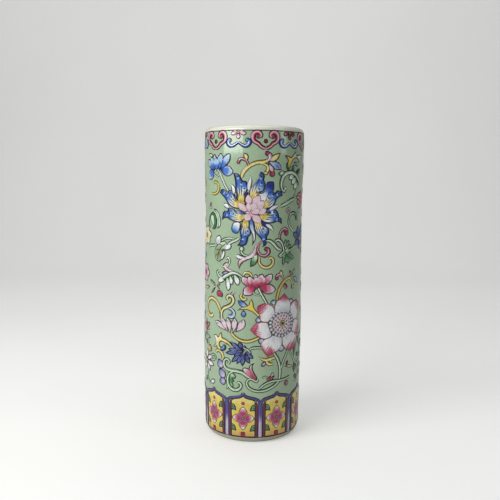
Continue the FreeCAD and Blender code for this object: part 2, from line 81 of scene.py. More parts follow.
# How many points make an arc, the side, a petal's edge, a ring line and the foot's band
ARC_STEPS = 14
SIDE_STEPS = 160
BLADE_STEPS = 11
RING_STEPS = 7
FOOT_STEPS = 10

# The vase's outline in millimetres, as radius and height
FOOT_RADIUS = 39.6
HEEL = (43.9, 9.0)
LIP_ROUND = 4.2
LIP_SPRING = VASE_HEIGHT - LIP_ROUND
MOUTH_RADIUS = 44.7
BORE_RADIUS = 38.0
CREST_RADIUS = MOUTH_RADIUS - LIP_ROUND
GLAZE = 0.5
FOOT_BAND = (1.0, 5.2)
LIP_END = 268.0
RIM_LINE = 275.0
FOOT_LINE_TOP = 5.9
OUTLINE_PULLS = [
    HEEL,
    (43.9, 0.08 * VASE_HEIGHT),
    (45.0, 0.20 * VASE_HEIGHT),
    (45.0, 0.40 * VASE_HEIGHT),
    (44.1, 0.62 * VASE_HEIGHT),
    (44.1, 0.80 * VASE_HEIGHT),
    (45.6, 0.925 * VASE_HEIGHT),
    (44.7, 0.97 * VASE_HEIGHT),
    (MOUTH_RADIUS, LIP_SPRING),
]

# Enamel and glaze colours, as display values from 0 to 255
PALETTE = {
    "ground": (165, 189, 157),
    "lip": (232, 232, 216),
    "foot": (184, 180, 158),
    "line": (26, 24, 26),
    "white": (242, 242, 244),
    "blush": (222, 196, 206),
    "pink": (208, 132, 152),
    "rose": (182, 52, 88),
    "mallow": (168, 44, 96),
    "crimson": (132, 18, 46),
    "red": (128, 26, 26),
    "sky": (158, 192, 220),
    "blue": (76, 120, 202),
    "cobalt": (34, 52, 138),
    "navy": (18, 24, 60),
    "violet": (70, 48, 128),
    "lavender": (172, 166, 200),
    "straw": (236, 222, 150),
    "yellow": (228, 204, 92),
    "ochre": (158, 138, 46),
    "amber": (206, 150, 84),
    "mint": (204, 227, 194),
    "leaf": (84, 142, 92),
    "forest": (22, 78, 42),
    "iris": (104, 96, 176),
    "olive": (90, 82, 28),
    "rosewood": (128, 78, 88),
    "petal": (226, 204, 210),
    "slate": (52, 58, 66),
    "mist": (216, 220, 226),
    "pine": (16, 44, 30),
    "steel": (96, 104, 118),
    "sage": (142, 160, 124),
}


def linear(display):
    """Turns display values from 0 to 255 into the linear numbers of a colour."""
    shares = [value / 255 for value in display]
    return [s / 12.92 if s <= 0.04045 else ((s + 0.055) / 1.055) ** 2.4 for s in shares]


class VaseColours(bpy.types.PropertyGroup):
    """The enamel and glaze colours."""

    __annotations__ = {
        name: FloatVectorProperty(
            name=name.capitalize(),
            description="Colour of the %s enamel or glaze" % name,
            subtype="COLOR",
            min=0.0,
            max=1.0,
            default=linear(display),
        )
        for name, display in PALETTE.items()
    }


def length(name, description, millimetres):
    """A length that a user may change."""
    return FloatProperty(name=name, description=description, default=millimetres * MM, unit="LENGTH")


class VaseSizes(bpy.types.PropertyGroup):
    """The sizes of the drawing and of the enamel's relief."""

    line_width: length("Line", "Width of the dark outlines", 0.85)
    line_lift: length("Line relief", "How far the outlines stand out", 0.1)
    dome: length("Enamel relief", "How far a petal swells above its outline", 0.09)
    layer: length("Layer", "How far each overlapping layer of enamel lies above the last", 0.11)
    fineness: length("Fineness", "Distance between the enamel's points", 0.85)
    stroke: FloatProperty(name="Stroke", description="Scale of the strokes' widths", default=2.0, min=0.1)
    turns: IntProperty(
        name="Turned facets", description="Facets round each turned coat", default=256, subtype="UNSIGNED"
    )


def sizes():
    return bpy.context.scene.vase_sizes


def pigment(name):
    """A palette colour as linear numbers."""
    return np.array(getattr(bpy.context.scene.vase_colours, name))


def spline(poles, count):
    """Points of the clamped even cubic curve that leans towards the poles."""
    poles = np.array(poles, float)
    spans = len(poles) - 3
    knots = np.concatenate([[0] * 3, np.arange(spans + 1), [spans] * 3])
    points = []
    for place in np.linspace(0, spans, count):
        span = min(int(place), spans - 1) + 3
        near = [poles[span - 3 + i] for i in range(4)]
        for step in range(1, 4):
            for i in range(3, step - 1, -1):
                low = knots[span - 3 + i]
                share = (place - low) / (knots[span + 1 + i - step] - low)
                near[i] = (1 - share) * near[i - 1] + share * near[i]
        points.append(near[3])
    return np.array(points)


def rounding(start, end, centre_height):
    """Points of the arc between two places about a centre at a height."""
    (ax, ay), (bx, by) = start, end
    cx = (bx * bx - ax * ax + (by - centre_height) ** 2 - (ay - centre_height) ** 2) / (2 * (bx - ax))
    radius = math.hypot(ax - cx, ay - centre_height)
    angles = [math.atan2(y - centre_height, x - cx) for x, y in (start, end)]
    return [
        (cx + radius * math.cos(a), centre_height + radius * math.sin(a))
        for a in np.linspace(*angles, ARC_STEPS)
    ]


HEEL_POINTS = rounding((FOOT_RADIUS, 0.0), HEEL, HEEL[1])
SIDE_POINTS = spline(OUTLINE_PULLS, SIDE_STEPS)
PROFILE = np.array(HEEL_POINTS[:-1] + [tuple(p) for p in SIDE_POINTS])


def side_radius(height):
    """Radius of the glazed side at a height."""
    return np.interp(height, PROFILE[:, 1], PROFILE[:, 0])


def on_vase(plan, lift):
    """Places drawn points on the vase, lifted off its glaze, in metres."""
    angle = plan[:, 0] / DRAWN_RADIUS
    bare = side_radius(plan[:, 1])
    room = WIDEST - bare
    radius = bare + np.where(lift > 0, room * np.tanh(lift / room), lift)
    return np.column_stack([radius * np.sin(angle), -radius * np.cos(angle), plan[:, 1]]) * MM


def smooth(points, spacing, closed=False):
    """A smooth line through the points, with its share of the way at each point.

    A point with a third value is a corner, where a closed line may turn sharply.
    """
    plain = np.array([p[:2] for p in points], float)
    corners = [i for i, p in enumerate(points) if len(p) > 2]
    if closed and corners:
        first = corners[0]
        order = [(first + i) % len(points) for i in range(len(points) + 1)]
        cuts = [i for i, j in enumerate(order) if j in corners]
        runs = [plain[order[a : b + 1]] for a, b in zip(cuts, cuts[1:])]
        return np.concatenate([smooth(run, spacing)[0][:-1] for run in runs]), None
    if closed:
        ring = np.concatenate([plain[-1:], plain, plain[:2]])
    else:
        ring = np.concatenate([2 * plain[:1] - plain[1:2], plain, 2 * plain[-1:] - plain[-2:-1]])
    line, shares = [], []
    spans = len(ring) - 3
    for i in range(spans):
        a, b, c, d = ring[i : i + 4]
        count = max(2, int(math.ceil(math.dist(b, c) / spacing)))
        for step in range(count):
            t = step / count
            line.append(
                0.5
                * (2 * b + (c - a) * t + (2 * a - 5 * b + 4 * c - d) * t**2 + (3 * b - a - 3 * c + d) * t**3)
            )
            shares.append((i + t) / spans)
    if not closed:
        line.append(ring[-2])
        shares.append(1.0)
    return np.array(line), np.array(shares)


def edge_distance(points, outline):
    """Distance of each point to the nearest side of a closed outline."""
    start = outline[None]
    side = np.roll(outline, -1, axis=0)[None] - start
    away = points[:, None] - start
    share = np.clip((away * side).sum(2) / np.maximum((side * side).sum(2), 1e-12), 0, 1)
    return np.linalg.norm(away - share[..., None] * side, axis=2).min(1)


def inside(points, outline):
    """Says for each point whether a closed outline goes round it."""
    x, y = points[:, 0:1], points[:, 1:2]
    x0, y0 = outline[:, 0][None], outline[:, 1][None]
    x1, y1 = np.roll(x0, -1, axis=1), np.roll(y0, -1, axis=1)
    crosses = (y0 > y) != (y1 > y)
    reach = x0 + (y - y0) * (x1 - x0) / np.where(y1 == y0, 1e-12, y1 - y0)
    return (crosses & (x < reach)).sum(1) % 2 == 1


def turned_left(outline):
    """The outline in anticlockwise order."""
    after = np.roll(outline, -1, axis=0)
    area = (outline[:, 0] * after[:, 1] - after[:, 0] * outline[:, 1]).sum()
    return outline if area > 0 else outline[::-1]


def drawn_in(outline, distance):
    """The points of an outline moved inwards, where they stay clear of its sides."""
    ahead = np.roll(outline, -1, axis=0) - np.roll(outline, 1, axis=0)
    inwards = np.column_stack([-ahead[:, 1], ahead[:, 0]])
    inwards /= np.maximum(np.linalg.norm(inwards, axis=1), 1e-9)[:, None]
    moved = outline + distance * inwards
    clear = edge_distance(moved, outline) > 0.9 * distance
    return moved[clear & inside(moved, outline)]


def eased(share):
    share = np.clip(share, 0, 1)
    return share * share * (3 - 2 * share)


class Wash:
    """How a patch is painted: the names of its colours from root to tip, an edge and brush marks."""

    def __init__(
        self, stops, edge=None, reach=0.7, strength=0.8, start=None, streaks=0.0, line="line", weight=1.0
    ):
        self.stops = stops.split()
        self.edge = edge
        self.reach = reach
        self.strength = strength
        self.start = start
        self.streaks = streaks
        self.line = line
        self.weight = weight

    def paint(self, plan, depth, root, tip, line_width, tint):
        """Linear colours for points at a depth inside their outline."""
        axis = np.array(tip, float) - root
        length = max(float(np.linalg.norm(axis)), 1e-6)
        axis /= length
        away = plan - root
        along = np.clip(away @ axis / length, 0, 1)
        across = away @ np.array([-axis[1], axis[0]])
        if self.streaks:
            ripple = np.sin(across * 5.3 + 1.7) + np.sin(across * 9.1 + along * 2.0)
            along = np.clip(along + self.streaks * 0.08 * ripple, 0, 1)
        colours = np.array([tint(stop) for stop in self.stops])
        if len(colours) == 1:
            fill = np.repeat(colours, len(plan), axis=0)
        else:
            place = along * (len(colours) - 1)
            low = np.minimum(place.astype(int), len(colours) - 2)
            share = eased(place - low)[:, None]
            fill = colours[low] * (1 - share) + colours[low + 1] * share
        if self.edge:
            near = self.strength * np.exp(-np.maximum(depth - line_width, 0) / self.reach)[:, None]
            if self.start is not None:
                near = near * eased((along - self.start) / 0.3)[:, None]
            fill = fill * (1 - near) + tint(self.edge) * near
        dark = (depth < line_width + 0.02)[:, None]
        return np.where(dark, tint(self.line), fill)


def blade(root, tip, width, bend=0.0, belly=0.55, blunt=0.0):
    """The outline of a petal or leaf: pointed, or rounded where it is blunt."""
    root, tip = np.array(root, float), np.array(tip, float)
    axis = tip - root
    length = float(np.linalg.norm(axis))
    normal = np.array([-axis[1], axis[0]]) / length
    middle = (root + tip) / 2 + normal * bend * length
    power = math.log(0.5) / math.log(belly)
    share = (1 - np.cos(np.linspace(0, math.pi, BLADE_STEPS))) / 2
    line = (
        ((1 - share) ** 2)[:, None] * root
        + (2 * share * (1 - share))[:, None] * middle
        + (share**2)[:, None] * tip
    )
    ahead = 2 * (1 - share)[:, None] * (middle - root) + 2 * share[:, None] * (tip - middle)
    side = np.column_stack([-ahead[:, 1], ahead[:, 0]])
    side /= np.linalg.norm(side, axis=1)[:, None]
    wave = np.sin(math.pi * share**power)
    sharp = np.maximum(wave, 0) ** 0.9
    full = np.maximum(wave, 0) ** 0.5
    half = (sharp * (1 - blunt) + full * blunt) * width / 2
    left, right = line + side * half[:, None], line - side * half[:, None]
    return np.concatenate([right, left[-2:0:-1]])


# How the enamel is built up: the outline's inner edge, the rows of points inside a
# patch, how soon its wall and its dome rise, and a stroke's thickness and steps
INNER_EDGE = 0.14
ROW_SHARE = 0.866
WALL_RISE = 0.08
DOME_RISE = 0.9
STROKE_RISE = 0.06
STROKE_STEP = 0.9
WIDEST_ROUND_STROKE = 2.2

# The two ends of a stroke
ROUNDED = ("round", "round")
POINTED = ("sharp", "sharp")
TAPERED = ("round", "sharp")
SPROUTED = ("sharp", "round")
SQUARED = ("square", "square")
RISEN = ("square", "sharp")
JOINED = ("round", "square")


class Enamel:
    """Gathers closed shells of enamel, which become one piece."""

    def __init__(self):
        self.points, self.faces, self.colours, self.soft = [], [], [], []
        self.count = 0
        self.draw_at(0.0)

    def draw_at(self, shift, mirrored=False, tints=()):
        """Lays what is drawn next further round the vase, mirrored where that is asked.

        Tints are pairs of a colour and the colour that takes its place there.
        """
        self.shift, self.mirrored, self.tints = shift, mirrored, dict(tints)

    def tint(self, name):
        return pigment(self.tints.get(name, name))

    def laid(self, plan):
        return plan * (-1.0 if self.mirrored else 1.0, 1.0) + (self.shift, 0.0)

    def add(self, points, faces, soft, colours):
        """Gathers a shell; its soft faces are shaded smoothly, its walls flat."""
        self.soft += soft
        if self.mirrored:
            faces = [face[::-1] for face in faces]
        self.points.append(points)
        self.colours.append(colours)
        self.faces += [[i + self.count for i in face] for face in faces]
        self.count += len(points)

    def patch(self, outline, wash, root=None, tip=None, layer=1, dome=1.0):
        """A domed area of enamel with its dark outline."""
        if isinstance(wash, str):
            wash = Wash(wash)
        spacing = sizes().fineness / MM
        if not isinstance(outline, np.ndarray):
            outline = smooth(outline, spacing * 0.8, closed=True)[0]
        outline = turned_left(outline)
        low, high = outline.min(0), outline.max(0)
        width = min(sizes().line_width / MM, 0.19 * float((high - low).min())) * wash.weight
        inner = width + INNER_EDGE
        rings = [outline, drawn_in(outline, width), drawn_in(outline, inner)]
        rows = np.arange(low[1], high[1], spacing * ROW_SHARE)
        grid = [
            (x + (0.5 * spacing if i % 2 else 0), y)
            for i, y in enumerate(rows)
            for x in np.arange(low[0], high[0] + spacing, spacing)
        ]
        grid = np.array(grid)
        grid = grid[inside(grid, outline)]
        if len(grid):
            grid = grid[edge_distance(grid, outline) > inner + 0.4 * spacing]
        plan = np.concatenate([ring for ring in rings + [grid] if len(ring)])
        loop = len(outline)
        edges = [(i, (i + 1) % loop) for i in range(loop)]
        made = delaunay_2d_cdt([Vector(p) for p in plan], edges, [], 1, 1e-5)
        plan = np.array([tuple(v) for v in made[0]])
        triangles = [list(face) for face in made[2]]
        depth = edge_distance(plan, outline)
        root = outline.mean(0) if root is None else np.array(root, float)
        tip = outline[np.linalg.norm(outline - root, axis=1).argmax()] if tip is None else tip
        colours = wash.paint(plan, depth, root, tip, width, self.tint)
        rise = 1 - np.exp(-np.maximum(depth - width, 0) / DOME_RISE)
        base = (sizes().line_lift + layer * sizes().layer) / MM
        lift = base * np.clip(depth / WALL_RISE, 0.35, 1) + dome * rise * sizes().dome / MM
        self.shell(plan, triangles, lift, colours)

    def shell(self, plan, triangles, lift, colours):
        """Closes an area with a sunk underside and walls."""
        count = len(plan)
        corners = plan[np.array(triangles)]
        one, two = corners[:, 1] - corners[:, 0], corners[:, 2] - corners[:, 0]
        area = one[:, 0] * two[:, 1] - one[:, 1] * two[:, 0]
        top = [t if a > 0 else t[::-1] for t, a in zip(triangles, area)]
        under = [[i + count for i in reversed(t)] for t in top]
        sides = {(t[i], t[(i + 1) % 3]) for t in top for i in range(3)}
        walls = [[a, a + count, b + count, b] for a, b in sorted(sides) if (b, a) not in sides]
        laid = self.laid(plan)
        points = np.concatenate([on_vase(laid, lift), on_vase(laid, np.full(count, -SINK))])
        soft = [True] * len(top) + [False] * (len(under) + len(walls))
        self.add(points, top + under + walls, soft, np.concatenate([colours, colours]))

    def petal(self, root, tip, width, wash, layer=1, dome=1.0, **shape):
        self.patch(blade(root, tip, width, **shape), wash, root, tip, layer, dome)

    def petals(self, rows, wash, **shape):
        """Several petals; a row is a root, a tip, a width and, where it isn't 1, a layer."""
        for root, tip, width, *layer in rows:
            self.petal(root, tip, width, wash, *layer, **shape)

    def flower(self, centre, reach, rise, width, wash, heart, blunt=0.5, start=0):
        """Six petals round a heart, which is a radius and a wash."""
        for angle in range(start, start + 360, 60):
            turn = math.radians(angle)
            tip = (centre[0] + reach * math.cos(turn), centre[1] + rise * math.sin(turn))
            self.petal(centre, tip, width, wash, blunt=blunt)
        self.disc(centre, *heart, layer=4)

    def disc(self, centre, radius, wash, layer=1, dome=1.0, squash=1.0, turn=0.0):
        """A round or oval drop of enamel, painted from one end to the other."""
        count = max(12, int(2 * math.pi * radius / 0.6))
        angles = np.linspace(0, 2 * math.pi, count, endpoint=False)
        cos, sin = math.cos(turn), math.sin(turn)
        ring = np.column_stack([np.cos(angles), np.sin(angles) * squash]) * radius
        ring = ring @ np.array([[cos, sin], [-sin, cos]]) + centre
        reach = np.array([cos, sin]) * radius
        self.patch(ring, wash, np.array(centre) - reach, np.array(centre) + reach, layer, dome)

    def stroke(self, points, widths, colours, layer=0, ends=ROUNDED):
        """A brush stroke of enamel, with colours given from its left side to its right.

        Widths are given at even steps of the way, and so are colours where they are a
        list. Round ends keep the width, sharp ends narrow to a point and square ends
        are cut off straight.
        """
        line, shares = smooth(points, STROKE_STEP)
        steps = np.linalg.norm(np.diff(line, axis=0), axis=1)
        way = np.concatenate([[0], np.cumsum(steps)])
        widths = np.atleast_1d(np.array(widths, float)) * sizes().stroke
        width = np.interp(shares, np.linspace(0, 1, len(widths)), widths)
        line, width, way = self.shaped_ends(line, width, way, ends)
        ahead = np.gradient(line, axis=0)
        ahead /= np.maximum(np.linalg.norm(ahead, axis=1), 1e-9)[:, None]
        left = np.column_stack([-ahead[:, 1], ahead[:, 0]])
        stations = [names.split() for names in ([colours] if isinstance(colours, str) else colours)]
        fills = max(len(stations[0]) - 2, 1)
        bands = self.bands_across(width / 2, max(fills, 2))
        paint = self.paint_across(stations, fills, way)
        count = bands.shape[1]
        core = np.abs(bands[:, 2:3])
        height = np.maximum(1 - (bands / core) ** 2, 0) ** 0.5
        base = (sizes().line_lift + layer * sizes().layer) / MM
        thick = np.minimum(width, WIDEST_ROUND_STROKE)[:, None] * STROKE_RISE
        lifts = base + thick * height
        lifts[:, 0] = lifts[:, -1] = -SINK
        rows = len(line)
        plan = (line[:, None] - bands[..., None] * left[:, None] * (width / 2)[:, None, None]).reshape(-1, 2)
        faces = []
        soft = []
        for r in range(rows - 1):
            for c in range(count):
                d = (c + 1) % count
                faces.append([r * count + c, r * count + d, (r + 1) * count + d, (r + 1) * count + c])
                soft.append(0 < c < count - 2)
        faces.append(list(range(count))[::-1])
        faces.append([(rows - 1) * count + c for c in range(count)])
        soft += [False, False]
        self.add(on_vase(self.laid(plan), lifts.reshape(-1)), faces, soft, paint.reshape(-1, 3))

    def strokes(self, rows, colours, **shape):
        """Several strokes; a row is a path, its widths and, where it isn't 0, a layer."""
        for path, widths, *layer in rows:
            self.stroke(path, widths, colours, *layer, **shape)

    def curl(self, path, widths, colours, knob, wash=None, layer=0):
        """A stroke that ends in a round knob."""
        self.stroke(path, widths, colours, layer=layer)
        self.disc(path[-1], knob, wash or RED_BALL, layer=layer + 2)

    @staticmethod
    def bands_across(halves, fills):
        """Places across a stroke, from -1 to 1: its two edges and its fills between them."""
        edge = sizes().line_width / MM
        bands = []
        for half in halves:
            inner = 1 - min(edge, 0.5 * half) / max(half, 1e-6)
            spread = np.linspace(-(inner - 0.1), inner - 0.1, fills)
            bands.append(np.concatenate([[-1, -0.97, -inner], spread, [inner, 0.97, 1]]))
        return np.array(bands)

    def paint_across(self, stations, fills, way):
        """Linear colours for each place across and along a stroke."""
        paints = []
        for names in stations:
            middle = names[1:-1] if fills > 1 else [names[len(names) // 2]] * 2
            paints.append([self.tint(name) for name in [names[0]] * 3 + middle + [names[-1]] * 3])
        paints = np.array(paints)
        last = len(paints) - 1
        place = way / max(way[-1], 1e-6) * last
        low = np.minimum(place.astype(int), max(last - 1, 0))
        share = eased(place - low)[:, None, None]
        return paints[low] * (1 - share) + paints[np.minimum(low + 1, last)] * share

    @staticmethod
    def shaped_ends(line, width, way, ends):
        """Rounds or sharpens the two ends of a stroke, with the points that takes."""
        total = way[-1]
        reaches = []
        marks = [way]
        for end, kind in enumerate(ends):
            reach = {"round": width[-end] / 2, "sharp": width.max() * 1.5, "square": 0.0}[kind]
            reach = min(reach, total * 0.45)
            reaches.append(reach)
            near = reach * (1 - np.cos(np.linspace(0.25, math.pi / 2, 5)))
            marks.append(total - near if end else near)
        marks = np.unique(np.concatenate(marks).round(4))
        marks = marks[np.concatenate([[True], np.diff(marks) > 0.02])]
        place = np.column_stack([np.interp(marks, way, line[:, 0]), np.interp(marks, way, line[:, 1])])
        wide = np.interp(marks, way, width)
        for end, (kind, reach) in enumerate(zip(ends, reaches)):
            if kind == "square":
                continue
            gone = np.clip(1 - (total - marks if end else marks) / max(reach, 1e-6), 0, 1)
            shrink = np.sqrt(np.maximum(1 - gone**2, 0)) if kind == "round" else 1 - gone
            wide *= np.maximum(shrink, 0.12)
        return place, wide, marks

    def build(self, name, slot, replaces=()):
        """Makes the piece and dresses it in painted enamel."""
        mesh = bpy.data.meshes.new(name)
        mesh.from_pydata(np.concatenate(self.points).tolist(), [], self.faces)
        mesh.update()
        paint = mesh.color_attributes.new("paint", "FLOAT_COLOR", "POINT")
        colours = np.concatenate(self.colours)
        rgba = np.column_stack([colours, np.ones(len(colours))]).astype(np.float32)
        paint.data.foreach_set("color", rgba.ravel())
        mesh.materials.append(enamel_material())
        mesh.polygons.foreach_set("use_smooth", self.soft)
        return settle(name, mesh, slot, replaces)


def settle(name, mesh, slot, replaces=()):
    """Puts a finished mesh on the vase as a piece."""
    piece = bpy.data.objects.new(name, mesh)
    bpy.context.scene.collection.objects.link(piece)
    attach(piece, BODY)
    if replaces:
        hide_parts(*replaces)
    return piece


def lathe(name, outline, material, slot, replaces=()):
    """Turns a closed outline of (radius, height) about the vase's axis."""
    outline = turned_left(np.array(outline, float))
    facets = sizes().turns
    angles = np.linspace(0, 2 * math.pi, facets, endpoint=False)
    rings = [
        [(r * math.sin(a), -r * math.cos(a), z) for r, z in outline * MM] for a in angles
    ]
    points = [p for ring in rings for p in ring]
    count = len(outline)
    faces = [
        [i * count + j, ((i + 1) % facets) * count + j, ((i + 1) % facets) * count + k, i * count + k]
        for i in range(facets)
        for j in range(count)
        for k in [(j + 1) % count]
    ]
    mesh = bpy.data.meshes.new(name)
    mesh.from_pydata(points, [], faces)
    mesh.update()
    mesh.polygons.foreach_set("use_smooth", [True] * len(faces))
    mesh.materials.append(material)
    return settle(name, mesh, slot, replaces)


class Nodes:
    """A short way to write a material's nodes."""

    def __init__(self, name):
        self.material = bpy.data.materials.new(name)
        self.material.use_nodes = True
        self.tree = self.material.node_tree
        self.surface = self.tree.nodes["Principled BSDF"]
        self.coordinates = self.add("ShaderNodeTexCoord").outputs["Object"]

    def add(self, kind, **settings):
        node = self.tree.nodes.new(kind)
        for key, value in settings.items():
            setattr(node, key, value)
        return node

    def link(self, output, target):
        self.tree.links.new(output, target)

    def noise(self, scale, detail=3.0, roughness=0.5, distortion=0.0):
        node = self.add("ShaderNodeTexNoise")
        node.inputs["Scale"].default_value = scale
        node.inputs["Detail"].default_value = detail
        node.inputs["Roughness"].default_value = roughness
        node.inputs["Distortion"].default_value = distortion
        self.link(self.coordinates, node.inputs["Vector"])
        return node.outputs["Fac"]

    def ranged(self, value, low, high, start=0.3, end=0.7):
        node = self.add("ShaderNodeMapRange")
        for key, number in (("From Min", start), ("From Max", end), ("To Min", low), ("To Max", high)):
            node.inputs[key].default_value = number
        self.link(value, node.inputs["Value"])
        return node.outputs["Result"]

    def mixed(self, share, first, second):
        node = self.add("ShaderNodeMix", data_type="RGBA")
        for socket, value in ((0, share), (6, first), (7, second)):
            if isinstance(value, bpy.types.NodeSocket):
                self.link(value, node.inputs[socket])
            elif socket == 0:
                node.inputs[socket].default_value = value
            else:
                node.inputs[socket].default_value = (*value, 1.0)
        return node.outputs[2]

    def scaled(self, colour, factor):
        """A colour made lighter or darker by a value near 1."""
        node = self.add("ShaderNodeHueSaturation")
        self.link(factor, node.inputs["Value"])
        self.link(colour, node.inputs["Color"])
        return node.outputs["Color"]

    def bumps(self, height, strength, distance):
        node = self.add("ShaderNodeBump")
        node.inputs["Strength"].default_value = strength
        node.inputs["Distance"].default_value = distance
        self.link(height, node.inputs["Height"])
        self.link(node.outputs["Normal"], self.surface.inputs["Normal"])

    def gloss(self, roughness, coat=0.0, coat_roughness=0.03):
        """Sets the even gloss on the shader's own sockets."""
        if isinstance(roughness, bpy.types.NodeSocket):
            self.link(roughness, self.surface.inputs["Roughness"])
        else:
            self.surface.inputs["Roughness"].default_value = roughness
        self.surface.inputs["IOR"].default_value = 1.5
        self.surface.inputs["Coat Weight"].default_value = coat
        self.surface.inputs["Coat Roughness"].default_value = coat_roughness

    def clouded(self, base, darker, lighter, *clouds):
        """A colour that drifts between a darker and a lighter tone of its base."""
        return self.mixed(self.ranged(self.noise(*clouds), 0.0, 1.0), base * darker, base * lighter)

    def finish(self, colour, gloss, pits, **coat):
        """Ends a material: its gloss is (scale, low, high), its pits (scale, detail, strength, depth)."""
        gloss_scale, low, high = gloss
        pit_scale, detail, strength, depth = pits
        self.link(colour, self.surface.inputs["Base Color"])
        self.gloss(self.ranged(self.noise(gloss_scale), low, high), **coat)
        self.bumps(self.noise(pit_scale, detail), strength, depth)
        return self.material


def once(make):
    """Makes a material the first time it is asked for, and keeps it."""
    made = {}

    def keep(*arguments):
        if arguments not in made:
            made[arguments] = make(*arguments)
        return made[arguments]

    return keep


@once
def enamel_material():
    """Painted enamel: its colour is drawn point by point, and pools unevenly."""
    nodes = Nodes("painted_enamel")
    paint = nodes.add("ShaderNodeVertexColor", layer_name="paint")
    pooled = nodes.ranged(nodes.noise(420.0, 4.0), 0.9, 1.1)
    colour = nodes.scaled(paint.outputs["Color"], pooled)
    pits = (900.0, 2.0, 0.12, 0.0002)
    return nodes.finish(colour, (300.0, 0.16, 0.28), pits, coat=0.35, coat_roughness=0.05)


@once
def ground_material():
    """The sage green ground glaze, a little cloudy, with fine pitting."""
    nodes = Nodes("sage_ground_glaze")
    colour = nodes.clouded(pigment("ground"), (0.93, 0.95, 0.93), (1.06, 1.04, 1.05), 26.0, 4.0, 0.55, 0.4)
    colour = nodes.scaled(colour, nodes.ranged(nodes.noise(520.0, 3.0), 0.95, 1.05))
    return nodes.finish(colour, (120.0, 0.1, 0.17), (260.0, 3.0, 0.1, 0.0004), coat=0.4)


@once
def pale_glaze_material(name):
    """A pale clear glaze over white clay, faintly uneven in tone, with a few specks."""
    nodes = Nodes("%s_glaze" % name)
    base = pigment(name)
    colour = nodes.clouded(base, (0.93, 0.93, 0.9), (1.04, 1.04, 1.05), 40.0, 4.0, 0.6)
    specks = nodes.ranged(nodes.noise(700.0, 2.0), 0.0, 1.0, 0.7, 0.76)
    colour = nodes.mixed(specks, colour, base * (0.6, 0.52, 0.4))
    return nodes.finish(colour, (150.0, 0.1, 0.18), (240.0, 3.0, 0.1, 0.0004), coat=0.4)


@once
def clay_material():
    """Bare fired porcelain: matte, slightly toasted, with a fine turned grain."""
    nodes = Nodes("bare_porcelain")
    toasted = np.array(linear((196, 182, 156)))
    colour = nodes.clouded(toasted, (0.86, 0.82, 0.76), (1.1, 1.1, 1.12), 60.0, 5.0)
    return nodes.finish(colour, (500.0, 0.55, 0.75), (1400.0, 4.0, 0.35, 0.0003))


@once
def line_material():
    """The brown-black enamel of the drawn lines."""
    nodes = Nodes("line_enamel")
    base = pigment("line")
    clouds = nodes.ranged(nodes.noise(200.0, 3.0), 0.0, 1.0)
    colour = nodes.mixed(clouds, base, base + (0.03, 0.02, 0.008))
    return nodes.finish(colour, (300.0, 0.2, 0.32), (900.0, 2.0, 0.1, 0.0002))


# Washes that several flowers share
PEARL = Wash("white", edge="lavender", reach=0.5, strength=0.3)
RED_BALL = Wash("crimson rose pink", edge="crimson", reach=0.4, strength=0.6)
STEM = "pine leaf mint mint pine"
PALE_STEM = "pine leaf mint white pine"
GOLD_STEM = "olive ochre straw straw olive"


def coat(name, outline, material, slot, node):
    """A coat of glaze under a stretch of the side's outline."""
    inner = [(r - GLAZE, z) for r, z in outline]
    lathe(name, [*outline, *inner[::-1]], material, slot, [node])


def turned_coats():
    """The coats of glaze that are turned with the vase."""
    low, high = FOOT_BAND
    side = [p for p in PROFILE if high <= p[1] <= LIP_SPRING]
    coat("ground_glaze", side, ground_material(), "green_ground", "outer_glaze")
    foot = [(float(side_radius(z)), z) for z in np.linspace(low, high, FOOT_STEPS)]
    coat("foot_band_glaze", foot, pale_glaze_material("foot"), "foot_glaze", "foot_glaze")

    crest, under = (CREST_RADIUS, VASE_HEIGHT), (CREST_RADIUS, VASE_HEIGHT - GLAZE)
    spring = VASE_HEIGHT - (CREST_RADIUS - BORE_RADIUS)
    lip = rounding((MOUTH_RADIUS, LIP_SPRING), crest, LIP_SPRING)
    lip += rounding(crest, (BORE_RADIUS, spring), spring)[1:]
    lip += [(BORE_RADIUS, LIP_END), (BORE_RADIUS + GLAZE, LIP_END)]
    lip += rounding((BORE_RADIUS + GLAZE, spring), under, spring)
    lip += rounding(under, (MOUTH_RADIUS - GLAZE, LIP_SPRING), LIP_SPRING)[1:]
    lathe("lip_band_glaze", lip, pale_glaze_material("lip"), "lip_glaze", ["lip_glaze"])


def ring_line(name, low, high, slot, replaces):
    """A dark line round the vase, thin at its edges."""
    heights = np.linspace(low, high, RING_STEPS)
    swell = RING_SWELL * np.sqrt(np.maximum(1 - np.linspace(-1, 1, RING_STEPS) ** 2, 0))
    outer = [(float(side_radius(z)) + s, z) for z, s in zip(heights, swell)]
    inner = [(float(side_radius(z)) - SINK, z) for z in heights[::-1]]
    lathe(name, outer + inner, line_material(), slot, replaces)


RUYI_COUNT = 6
RUYI_STEP = GIRTH / RUYI_COUNT
RUYI_PLACE = math.radians(12.2) * DRAWN_RADIUS
RUYI_HALF = [
    (0, 260.3), (2.6, 261.2), (4.6, 262.6), (6, 264.3), (7.8, 265.3), (9.7, 266.6), (10.6, 268.8),
    (10.4, 271.4), (9.1, 273.2), (6.9, 273.8), (4.9, 272.8), (4.3, 270.9), (5.5, 269.6),
]
CURL_HALF = [(0, 265.6), (2.6, 263.6), (5.2, 262.3), (7.7, 262.6), (9.3, 264.4), (9.4, 266.6), (8.2, 267.7)]


def mirrored(points, side, centre):
    return [(centre + side * x, z) for x, z in points]


def facing(colours, side):
    """Colours given from the inside outwards, for a stroke up the right or left side."""
    return colours if side > 0 else " ".join(reversed(colours.split()))


